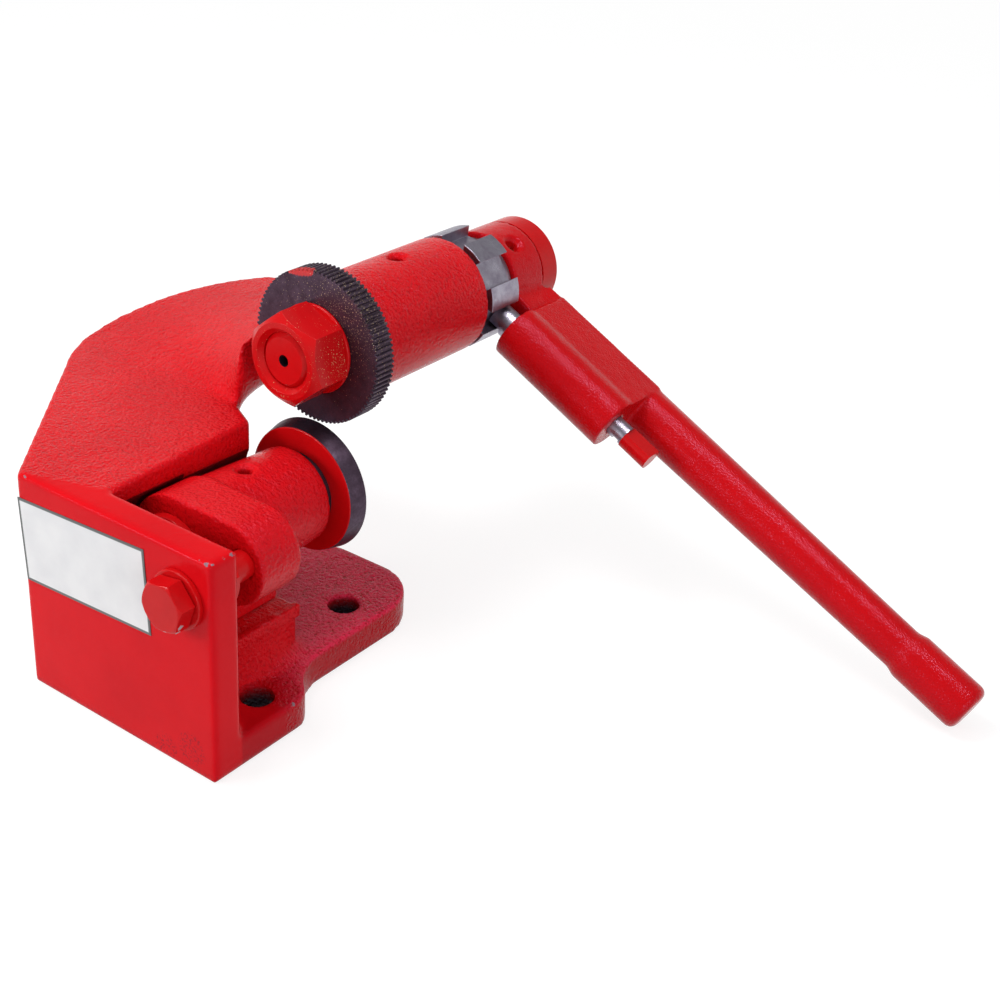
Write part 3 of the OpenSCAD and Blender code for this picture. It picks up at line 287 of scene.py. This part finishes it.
def castFinish(name, red, sand=1.0, size=castPaint["sand"], shine=1.0, isFrame=False):
    mat, tree, shader, coords = startFinish(name)
    lumps = grain(tree, coords, castPaint["lump"])
    sands = grain(tree, coords, size)
    speck = grain(tree, coords, castPaint["speck"], detail=1)
    patch = grain(tree, coords, castPaint["patch"], detail=3)
    uneven = span(tree, patch, *castPaint["patchCut"], 0, castPaint["patchShare"])
    colour = tint(tree, uneven, red, castPaint["deep"])
    rough = span(tree, patch, *castPaint["glossCut"], *castPaint["gloss"])
    share = groundWall(tree, coords) if isFrame else 1.0
    pits = times(tree, span(tree, sands, *castPaint["pitCut"]), share)
    colour = tint(tree, times(tree, pits, castPaint["pitShare"] * sand), colour, castPaint["deep"])
    if isFrame:
        # painted shade in the cut over the carriage, which is also made dull
        pocketShade = pocketShadeShare(tree, coords)
        colour = frameMarks(tree, coords, colour, pits, pocketShade)
        rough = maths(tree, "MAXIMUM", rough, times(tree, pocketShade, pocketShadeLook["dull"]))
    tree.links.new(colour, shader.inputs["Base Color"])
    tree.links.new(rough, shader.inputs["Roughness"])
    strength = times(tree, share, sand) if isFrame else sand
    normal = relief(tree, lumps, castPaint["lumpDepth"], strength)
    normal = relief(tree, sands, castPaint["sandDepth"] * size, strength, normal)
    normal = relief(tree, speck, castPaint["speckDepth"], castPaint["speckStrength"], normal)
    tree.links.new(normal, shader.inputs["Normal"])
    shader.inputs["IOR"].default_value = castPaint["ior"]
    shader.inputs["Specular IOR Level"].default_value = shine
    shader.inputs["Specular Tint"].default_value = castPaint["glaze"]
    return mat


# red paint on turned pieces

steelPaint = {
    "red": (0.60, 0.004, 0.006), "deep": (0.34, 0.001, 0.003), "bare": (0.42, 0.40, 0.43),
    "patch": 0.012, "patchCut": (0.35, 0.8), "patchShare": 0.35,
    "peel": 0.0013, "peelDepth": 0.00012, "peelStrength": 0.5,
    "gloss": (0.14, 0.26), "glossCut": (0.25, 0.75), "ior": 1.17, "shine": 1.0,
}
boltChips = [
    ((0.0385, -0.1035, 0.0605), 0.0013), ((0.0372, -0.1040, 0.0585), 0.0010),
    ((0.0330, -0.1050, 0.0572), 0.0011),
]
nutDust = {"middle": (0.017, -0.004, 0.112), "reach": 0.016, "colour": (0.60, 0.36, 0.20)}


def paintFinish(name, places=None, dust=None):
    mat, tree, shader, coords = startFinish(name)
    patch = grain(tree, coords, steelPaint["patch"], detail=3)
    peel = grain(tree, coords, steelPaint["peel"])
    uneven = span(tree, patch, *steelPaint["patchCut"], 0, steelPaint["patchShare"])
    colour = tint(tree, uneven, steelPaint["red"], steelPaint["deep"])
    if places:
        colour = tint(tree, chips(tree, coords, places), colour, steelPaint["bare"])
    if dust:
        colour = tint(tree, filings(tree, coords, dust["middle"], dust["reach"]), colour, dust["colour"])
    normal = relief(tree, peel, steelPaint["peelDepth"], steelPaint["peelStrength"])
    tree.links.new(colour, shader.inputs["Base Color"])
    rough = span(tree, patch, *steelPaint["glossCut"], *steelPaint["gloss"])
    tree.links.new(rough, shader.inputs["Roughness"])
    tree.links.new(normal, shader.inputs["Normal"])
    shader.inputs["IOR"].default_value = steelPaint["ior"]
    shader.inputs["Specular IOR Level"].default_value = steelPaint["shine"]
    return mat


# blackened and bare steel, and bronze

steelLooks = {
    "dark": {"base": (0.086, 0.056, 0.086), "shade": (0.044, 0.026, 0.042), "gloss": (0.34, 0.52),
             "metal": 0.85},
    "bare": {"base": (0.42, 0.40, 0.47), "shade": (0.24, 0.21, 0.27), "gloss": (0.24, 0.42),
             "streak": (1, 0.12, 1)},
    "bronze": {"base": (0.60, 0.40, 0.17), "shade": (0.40, 0.25, 0.10), "gloss": (0.25, 0.4)},
}
metalGrain = {"patch": 0.005, "patchCut": (0.36, 0.66), "patchRough": 0.65, "glossCut": (0.7, 1.3),
              "line": 0.0008, "lineCut": (0.40, 0.66), "lineShare": 0.45,
              "lineDepth": 0.00006, "lineStrength": 0.7}
cutterDust = {"middle": (0.014, 0.0, 0.124), "reach": 0.036, "colour": (0.62, 0.47, 0.32)}
stainLook = {"start": (-0.0120, 0.0008, 0.1365), "step": (0.0013, 0, 0.00022), "count": 8, "radius": 0.0020,
             "swell": 0.00016, "ragged": 0.0003, "colour": (0.52, 0.012, 0.016)}


def stainSpots():  # a short smear of red paint, thicker in the middle
    start, step = Vector(stainLook["start"]), Vector(stainLook["step"])
    last = stainLook["count"] - 1
    radii = [stainLook["radius"] + stainLook["swell"] * min(k, last - k) for k in range(last + 1)]
    return [(start + k * step, radius) for k, radius in enumerate(radii)]


def metalFinish(name, look, cutter=False):
    mat, tree, shader, coords = startFinish(name)
    patch = grain(tree, coords, metalGrain["patch"], detail=4, rough=metalGrain["patchRough"])
    drawn = placed(tree, coords, stretch=look.get("streak", (1, 1, 1)))
    lines = grain(tree, drawn, metalGrain["line"], detail=3)
    colour = tint(tree, span(tree, patch, *metalGrain["patchCut"]), look["base"], look["shade"])
    streaks = span(tree, lines, *metalGrain["lineCut"], 0, metalGrain["lineShare"])
    colour = tint(tree, streaks, colour, look["shade"])
    metal = look.get("metal", 1.0)
    if cutter:
        stain = chips(tree, coords, stainSpots(), stainLook["ragged"])
        colour = tint(tree, stain, colour, stainLook["colour"])
        dust = filings(tree, coords, cutterDust["middle"], cutterDust["reach"])
        colour = tint(tree, dust, colour, cutterDust["colour"])
        metal = times(tree, maths(tree, "SUBTRACT", 1.0, stain), metal)
    tree.links.new(colour, shader.inputs["Base Color"])
    link(tree, metal, shader.inputs["Metallic"])
    rough = span(tree, maths(tree, "ADD", patch, lines), *metalGrain["glossCut"], *look["gloss"])
    tree.links.new(rough, shader.inputs["Roughness"])
    normal = relief(tree, lines, metalGrain["lineDepth"], metalGrain["lineStrength"])
    tree.links.new(normal, shader.inputs["Normal"])
    return mat


# plain film on the wall, with a thin edge line

labelLook = {
    "middle": (-0.014, -0.097, 0.0594), "tilt": -3.2, "turn": -6.4, "half": (0.0305, 0.0156),
    "line": 0.0008, "blend": 0.0003, "lineColour": (0.10, 0.11, 0.11),
    "film": (0.80, 0.80, 0.81), "smear": (0.72, 0.72, 0.74), "smearSize": 0.011, "smearCut": (0.35, 0.75),
    "gloss": (0.32, 0.44),
    "wave": 0.006, "waveDepth": 0.0001, "waveStrength": 0.4,
}


def labelFinish(name):
    mat, tree, shader, coords = startFinish(name)
    flat = placed(tree, coords, labelLook["middle"], (0, labelLook["tilt"], 0))
    parts = tree.nodes.new("ShaderNodeSeparateXYZ")
    tree.links.new(flat, parts.inputs[0])
    edges = []
    for axis, half in zip("XZ", labelLook["half"]):
        far = maths(tree, "ABSOLUTE", parts.outputs[axis], 0.0)
        inner = half - labelLook["line"]
        edges.append(span(tree, far, inner - labelLook["blend"], inner))
    rim = maths(tree, "MAXIMUM", *edges)
    smear = grain(tree, coords, labelLook["smearSize"], detail=3)
    smear = span(tree, smear, *labelLook["smearCut"])
    film = tint(tree, smear, labelLook["film"], labelLook["smear"])
    waves = grain(tree, coords, labelLook["wave"])
    normal = relief(tree, waves, labelLook["waveDepth"], labelLook["waveStrength"])
    tree.links.new(tint(tree, rim, film, labelLook["lineColour"]), shader.inputs["Base Color"])
    tree.links.new(span(tree, smear, 0, 1, *labelLook["gloss"]), shader.inputs["Roughness"])
    tree.links.new(normal, shader.inputs["Normal"])
    return mat


finishes = {
    "frame": castFinish("redCastFrame", castPaint["red"], shine=castPaint["frameShine"], isFrame=True),
    "casting": castFinish("redCastPieces", castPaint["red"], castPaint["pieceRelief"]),
    # the lever takes the darkened red: painted shade for the lesser light on it
    "lever": castFinish("redCastLever", castPaint["leverShadedRed"], castPaint["leverRelief"],
                        castPaint["leverSand"]),
    "paint": paintFinish("redPaintedSteel"),
    "bolt": paintFinish("redPaintedBolt", places=boltChips),
    "nut": paintFinish("redPaintedNut", dust=nutDust),
    "dark": metalFinish("blackenedSteel", steelLooks["dark"]),
    "cutter": metalFinish("blackenedCutter", steelLooks["dark"], cutter=True),
    "bare": metalFinish("bareSteel", steelLooks["bare"]),
    "bronze": metalFinish("turnedBronze", steelLooks["bronze"]),
    "label": labelFinish("plainFilm"),
}
slotFinish = {"red_casting": "casting", "red_steel": "paint", "dark_steel": "dark", "bare_steel": "bare",
              "bronze": "bronze", "label": "label"}
print("finishes made,", len(finishes))


# pieces that stand for CAD nodes

def mergedCopy(node):
    work = bmesh.new()
    work.from_mesh(nodes[node].data)
    bmesh.ops.remove_doubles(work, verts=work.verts, dist=1e-6)
    return work


def meshOf(work, name):
    mesh = bpy.data.meshes.new(name)
    work.to_mesh(mesh)
    work.free()
    return mesh


def keepPiece(name, mesh, node, *mats):
    piece = bpy.data.objects.new(name, mesh)
    scene.collection.objects.link(piece)
    for mat in mats:
        mesh.materials.append(mat)
    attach(piece, nodes[node]["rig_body"])
    return piece


def standIn(name, mesh, node, *mats):
    piece = keepPiece(name, mesh, node, *mats)
    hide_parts(node)
    return piece


# castings, each one soft skin whose edges and corners blend

skinLook = {"sharp": 75, "wall": 0.7, "pull": 0.5, "every": 6}


def keepHoles(spots, look):  # nothing is smoothed round a hole, and its wall is made round
    free = np.ones(len(spots))
    for point, way, radius, reach, low, high in look["keep"]:
        gap = spots - np.array(point)
        height = gap @ np.array(way)
        gap = gap - np.outer(height, way)
        far = np.linalg.norm(gap, axis=1)
        near = (height > low) & (height < high)
        free[near & (far < reach)] = 0
        wall = near & (np.abs(far - radius) < skinLook["wall"] * look["voxel"]) & (far > look["voxel"])
        spots[wall] += gap[wall] * (radius / far[wall] - 1)[:, None]
    return free


def easeSkin(mesh, look):  # rounds the outer edges a little and fills the inner corners as casting sand does
    count = len(mesh.vertices)
    spots = np.empty(count * 3)
    mesh.vertices.foreach_get("co", spots)
    spots = spots.reshape(-1, 3)
    pairs = np.empty(len(mesh.edges) * 2, dtype=np.int32)
    mesh.edges.foreach_get("vertices", pairs)
    one, two = pairs.reshape(-1, 2).T
    degree = np.bincount(pairs, minlength=count)
    free = keepHoles(spots, look)
    size = np.full(count, look["fillet"])
    for low, high, radius in look.get("deep", ()):  # inner corners with a larger round
        size[np.all((spots > low) & (spots < high), axis=1)] = radius
    limit = look["voxel"] ** 2 / (4 * size)
    normals = np.empty(count * 3)
    for turn in range(-look["rounds"], look["fill"]):
        sums = np.stack([np.bincount(one, spots[two, k], count) for k in range(3)], 1)
        sums += np.stack([np.bincount(two, spots[one, k], count) for k in range(3)], 1)
        pull = (sums / degree[:, None] - spots) * free[:, None]
        if turn >= 0:
            if turn % skinLook["every"] == 0:
                mesh.vertices.foreach_set("co", spots.ravel())
                mesh.update()
                mesh.vertices.foreach_get("normal", normals)
            hollow = np.einsum("ij,ij->i", pull, normals.reshape(-1, 3)) > limit
            pull = pull * hollow[:, None]
        spots = spots + skinLook["pull"] * pull
    mesh.vertices.foreach_set("co", spots.ravel())
    mesh.update()


def castSkin(name, look):
    rough = meshOf(mergedCopy(look["node"]), name + "Rough")
    holder = bpy.data.objects.new(name + "Rough", rough)
    scene.collection.objects.link(holder)
    skin = holder.modifiers.new("skin", "REMESH")
    skin.mode = "VOXEL"
    skin.voxel_size = look["voxel"]
    skin.use_smooth_shade = True
    bpy.context.view_layer.update()
    graph = bpy.context.evaluated_depsgraph_get()
    mesh = bpy.data.meshes.new_from_object(holder.evaluated_get(graph), depsgraph=graph)
    mesh.name = name
    bpy.data.objects.remove(holder)
    bpy.data.meshes.remove(rough)
    easeSkin(mesh, look)
    mesh.set_sharp_from_angle(angle=math.radians(skinLook["sharp"]))
    print(name, len(mesh.polygons), "faces")
    standIn(name, mesh, look["node"], finishes[look["finish"]])


# each kept hole: a point on its axis, its direction, radius, kept reach, and from where to where
oilHole = {"radius": 0.0025, "reach": 0.0058}
oil = (oilHole["radius"], oilHole["reach"])
baseHoles = [((x, y, 0), up, radius, 0.0075, -0.001, 0.0135) for x, y, radius in boltHoles]
clampHoles = [((0, y, 0), up, 0, 0.011, -0.001, 0.032) for y in (-0.0625, -0.0439)]
castings = {
    "frameCasting": {
        "node": "frame", "finish": "frame", "voxel": 0.00096, "rounds": 4, "fill": 260, "fillet": 0.005,
        "deep": [((0.012, -0.0895, 0.0105), (0.046, -0.015, 0.031), 0.020)],
        "keep": [((0, 0.0440, 0), up, *oil, 0.122, 0.140),
                 ((boltX, 0, boltZ), back, 0.0055, 0.0075, -0.1, -0.083), *baseHoles, *clampHoles],
    },
    "leverCasting": {
        "node": "lever", "finish": "lever", "voxel": 0.0007, "rounds": 3, "fill": 60, "fillet": 0.0009,
        "deep": [((0.004, 0.07, 0.08), (0.026, 0.13, 0.125), 0.005)],
        "keep": [((0, 0.1031, spindleZ), (0.5766, 0, 0.8170), *oil, 0.012, 0.021),
                 ((0, 0.0881, spindleZ), plungerWay, 0, 0.0075, 0.0, 0.1)],
    },
    "carriageCasting": {
        "node": "carriage", "finish": "casting", "voxel": 0.0007, "rounds": 5, "fill": 70, "fillet": 0.006,
        "keep": [((0, -0.03595, 0), up, *oil, 0.07, 0.09),
                 ((boltX, 0, boltZ), back, 0, 0.007, -0.072, -0.04)],
    },
}
for name, look in castings.items():
    castSkin(name, look)
print("castings done")


# turned and cut pieces with their edges eased

edgeLook = {"flat": 0.6, "over": 32, "steps": 2, "sharp": 55}


def easeEdges(work, edges, ease, steps):
    bmesh.ops.bevel(work, geom=edges, offset=ease, offset_type="OFFSET", affect="EDGES",
                    segments=steps, profile=0.5, material=-1, clamp_overlap=True)


def softEdges(name, look, *mats, paintIf=None):
    work = mergedCopy(look["node"])
    flat = math.radians(edgeLook["flat"])
    over = math.radians(look.get("over", edgeLook["over"]))
    bmesh.ops.dissolve_limit(work, angle_limit=flat, verts=work.verts, edges=work.edges)
    sharp = [e for e in work.edges if e.is_manifold and e.calc_face_angle(0) > over]
    easeEdges(work, sharp, look["ease"], look.get("steps", edgeLook["steps"]))
    work.normal_update()
    for face in work.faces:
        face.smooth = True
        if paintIf and paintIf(face):
            face.material_index = 1
    mesh = meshOf(work, name)
    mesh.set_sharp_from_angle(angle=math.radians(edgeLook["sharp"]))
    piece = standIn(name, mesh, look["node"], *mats)
    even = piece.modifiers.new("flatFaces", "WEIGHTED_NORMAL")
    even.keep_sharp = True


turned = {
    "cutterNut": {"node": "cutter_nut", "ease": 0.0007, "steps": 3, "over": 20, "finish": "nut"},
    "cutterWasher": {"node": "cutter_washer", "ease": 0.0005},
    "upperCutter": {"node": "upper_cutter", "ease": 0.00012, "steps": 1, "over": 25, "finish": "cutter"},
    "ratchetWheel": {"node": "ratchet_wheel", "ease": 0.0007, "steps": 3},
    "endCollar": {"node": "end_collar", "ease": 0.0009, "steps": 3},
    "plungerPawl": {"node": "plunger_pawl", "ease": 0.0003},
    "plungerKnob": {"node": "plunger_knob", "ease": 0.0005, "steps": 3},
    "lowerCollar": {"node": "lower_collar", "ease": 0.0005},
    "lowerNut": {"node": "lower_nut", "ease": 0.0004},
    "adjustingBolt": {"node": "adjusting_bolt", "ease": 0.0005, "steps": 3, "finish": "bolt"},
    "adjustingWasher": {"node": "adjusting_washer", "ease": 0.0004},
    "lockNut": {"node": "lock_nut", "ease": 0.0004},
}
for name, look in turned.items():
    softEdges(name, look, finishes[look.get("finish", slotFinish[slotOf[look["node"]]])])

shaftLook = {"node": "upper_shaft", "ease": 0.0003, "steps": 3, "noseHole": 0.0024}
lowerCutterLook = {"node": "lower_cutter", "ease": 0.0008, "steps": 3, "facing": -0.55}


def inNoseHole(face):
    return all(math.hypot(v.co.x, v.co.z - spindleZ) < shaftLook["noseHole"] for v in face.verts)


def onFrontFace(face):
    return face.normal.y < lowerCutterLook["facing"]


softEdges("upperShaft", shaftLook, finishes["paint"], finishes["dark"], paintIf=inNoseHole)
softEdges("lowerCutter", lowerCutterLook, finishes["dark"], finishes["paint"], paintIf=onFrontFace)
print("turned pieces done")


# details that the solids leave to the scene

railLook = {"low": (0.0205, -0.085, 0.0254), "high": (0.0238, -0.0335, 0.0304), "ease": 0.0008, "steps": 3}


def makeRail():  # ledge along the pad's right edge
    work = bmesh.new()
    bmesh.ops.create_cube(work, size=1.0)
    low, high = Vector(railLook["low"]), Vector(railLook["high"])
    bmesh.ops.scale(work, vec=high - low, verts=work.verts)
    bmesh.ops.translate(work, vec=(low + high) / 2, verts=work.verts)
    easeEdges(work, work.edges[:], railLook["ease"], railLook["steps"])
    for face in work.faces:
        face.smooth = True
    keepPiece("padRail", meshOf(work, "padRail"), "frame", finishes["frame"])


threadLook = {"from": -0.0786, "to": -0.0711, "pitch": 0.0015, "root": 0.0048, "crest": 0.0053, "sides": 40,
              "sharp": 70}


def makeThread():  # crests of the adjusting bolt's thread between its lock nut and the carriage
    work = bmesh.new()
    half = threadLook["pitch"] / 2
    steps = int(round((threadLook["to"] - threadLook["from"]) / half))
    line = []
    for k in range(steps + 1):
        radius = threadLook["crest"] if k % 2 else threadLook["root"]
        line.append(work.verts.new((boltX + radius, threadLook["from"] + k * half, boltZ)))
    edges = [work.edges.new(pair) for pair in zip(line, line[1:])]
    bmesh.ops.spin(work, geom=line + edges, cent=(boltX, 0, boltZ), axis=back, dvec=(0, 0, 0),
                   angle=math.tau, steps=threadLook["sides"], use_merge=True)
    bmesh.ops.recalc_face_normals(work, faces=work.faces)
    for face in work.faces:
        face.smooth = True
    mesh = meshOf(work, "boltThread")
    mesh.set_sharp_from_angle(angle=math.radians(threadLook["sharp"]))
    keepPiece("boltThread", mesh, "adjusting_bolt", finishes["paint"])


def makeLabel():  # the solid's film leans the other way, so it is turned about its middle
    work = mergedCopy("blank_label")
    turn = Matrix.Rotation(math.radians(labelLook["turn"]), 3, "Y")
    bmesh.ops.rotate(work, cent=labelLook["middle"], matrix=turn, verts=work.verts)
    standIn("labelFilm", meshOf(work, "labelFilm"), "blank_label", finishes["label"])


makeRail()
makeThread()
makeLabel()
print("added details done")

# the lower shaft, seen only in the gap between the carriage and the lower cutter, takes the blackened finish
# in place of its bare-steel slot: painted shade for that gap
ownFinish = {"frame": "frame", "lower_shaft": "dark"}
for node, piece in nodes.items():  # what stays as it came gets its finish
    piece.data.materials.clear()
    piece.data.materials.append(finishes[ownFinish.get(node, slotFinish[slotOf[node]])])


# floor, light and camera

stageLook = {"floorSize": 6.0, "floorDrop": 0.0002, "floorGrey": 0.45, "glow": 0.80, "catch": 0.30,
             "ambient": 0.60, "ceiling": 0.34, "rise": (0.10, 0.58)}
white = (1, 1, 1, 1)


def seenShare(tree):  # rays that should meet a white surrounding
    path = tree.nodes.new("ShaderNodeLightPath")
    share = maths(tree, "MAXIMUM", path.outputs["Is Camera Ray"], path.outputs["Is Glossy Ray"])
    return maths(tree, "MAXIMUM", share, path.outputs["Is Transmission Ray"])


def mixSeen(tree, unseen, seen, out):
    mix = tree.nodes.new("ShaderNodeMixShader")
    tree.links.new(seenShare(tree), mix.inputs[0])
    tree.links.new(unseen.outputs[0], mix.inputs[1])
    tree.links.new(seen.outputs[0], mix.inputs[2])
    tree.links.new(mix.outputs[0], tree.nodes[out].inputs["Surface"])


def greyMatte(tree, grey):
    matte = tree.nodes.new("ShaderNodeBsdfDiffuse")
    matte.inputs["Color"].default_value = (grey, grey, grey, 1)
    return matte


def floorFinish():
    mat = bpy.data.materials.new("paleFloor")
    mat.use_nodes = True
    tree = mat.node_tree
    tree.nodes.remove(tree.nodes["Principled BSDF"])
    glow = tree.nodes.new("ShaderNodeEmission")
    glow.inputs["Strength"].default_value = stageLook["glow"]
    both = tree.nodes.new("ShaderNodeAddShader")
    tree.links.new(greyMatte(tree, stageLook["catch"]).outputs[0], both.inputs[0])
    tree.links.new(glow.outputs[0], both.inputs[1])
    mixSeen(tree, greyMatte(tree, stageLook["floorGrey"]), both, "Material Output")
    return mat


def makeFloor():
    work = bmesh.new()
    bmesh.ops.create_grid(work, x_segments=1, y_segments=1, size=stageLook["floorSize"] / 2)
    bmesh.ops.translate(work, verts=work.verts, vec=(0, 0, -stageLook["floorDrop"]))
    mesh = meshOf(work, "floor")
    floor = bpy.data.objects.new("floor", mesh)
    scene.collection.objects.link(floor)
    mesh.materials.append(floorFinish())


def makeWorld():  # white all round, dimmer overhead
    world = bpy.data.worlds.new("studio")
    world.use_nodes = True
    tree = world.node_tree
    ambient = tree.nodes["Background"]
    ambient.inputs["Strength"].default_value = stageLook["ambient"]
    ambient.inputs["Color"].default_value = white
    dome = tree.nodes.new("ShaderNodeBackground")
    dome.inputs["Color"].default_value = white
    way = tree.nodes.new("ShaderNodeSeparateXYZ")
    tree.links.new(tree.nodes.new("ShaderNodeTexCoord").outputs["Generated"], way.inputs[0])
    bright = span(tree, way.outputs["Z"], *stageLook["rise"], 1.0, stageLook["ceiling"], True)
    tree.links.new(bright, dome.inputs["Strength"])
    mixSeen(tree, ambient, dome, "World Output")
    scene.world = world


lamps = {
    "topBox": {"at": (-0.14, -0.12, 0.72), "aim": (0, 0, 0.08), "size": (0.25, 0.22), "power": 2.0},
    "overStrip": {"at": (0.29, 0.06, 0.93), "aim": (0.08, 0.1, 0.07), "size": (0.15, 0.50), "power": 5.5,
                  "sheenOnly": True},
    "frontBox": {"at": (-0.45, -0.80, 0.40), "aim": (0, -0.05, 0.06), "size": (0.4, 0.35), "power": 3.7},
    "rightBox": {"at": (1.60, -0.70, 0.30), "aim": (0, 0, 0.07), "size": (0.8, 0.6), "power": 6.5},
}


def makeLamps():
    for name, look in lamps.items():
        light = bpy.data.lights.new(name, "AREA")
        light.shape = "RECTANGLE"
        light.size, light.size_y = look["size"]
        light.energy = look["power"]
        lamp = bpy.data.objects.new(name, light)
        lamp.visible_diffuse = not look.get("sheenOnly", False)
        scene.collection.objects.link(lamp)
        away = Vector(look["at"]) - Vector(look["aim"])
        turn = away.to_track_quat("Z", "Y").to_matrix()
        lamp.matrix_world = Matrix.Translation(look["at"]) @ turn.to_4x4()


cameraLook = {
    "at": (0.34012, -0.38136, 0.32680),
    "right": (0.7900, 0.6115, 0.0442), "up": (-0.3128, 0.3400, 0.8869),
    "lens": 56.58, "sensor": 36.0, "shift": (0.0560, -0.0263), "nearest": 0.01,
}


def makeCamera():
    data = bpy.data.cameras.new("photoCamera")
    data.lens = cameraLook["lens"]
    data.sensor_width = cameraLook["sensor"]
    data.shift_x, data.shift_y = cameraLook["shift"]
    data.clip_start = cameraLook["nearest"]
    camera = bpy.data.objects.new("photoCamera", data)
    scene.collection.objects.link(camera)
    side = Vector(cameraLook["right"]).normalized()
    away = side.cross(Vector(cameraLook["up"])).normalized()
    axes = Matrix((side, away.cross(side), away)).transposed()
    camera.matrix_world = Matrix.Translation(cameraLook["at"]) @ axes.to_4x4()
    scene.camera = camera


makeFloor()
makeWorld()
makeLamps()
makeCamera()
scene.view_settings.view_transform = "Standard"
print("stage set")
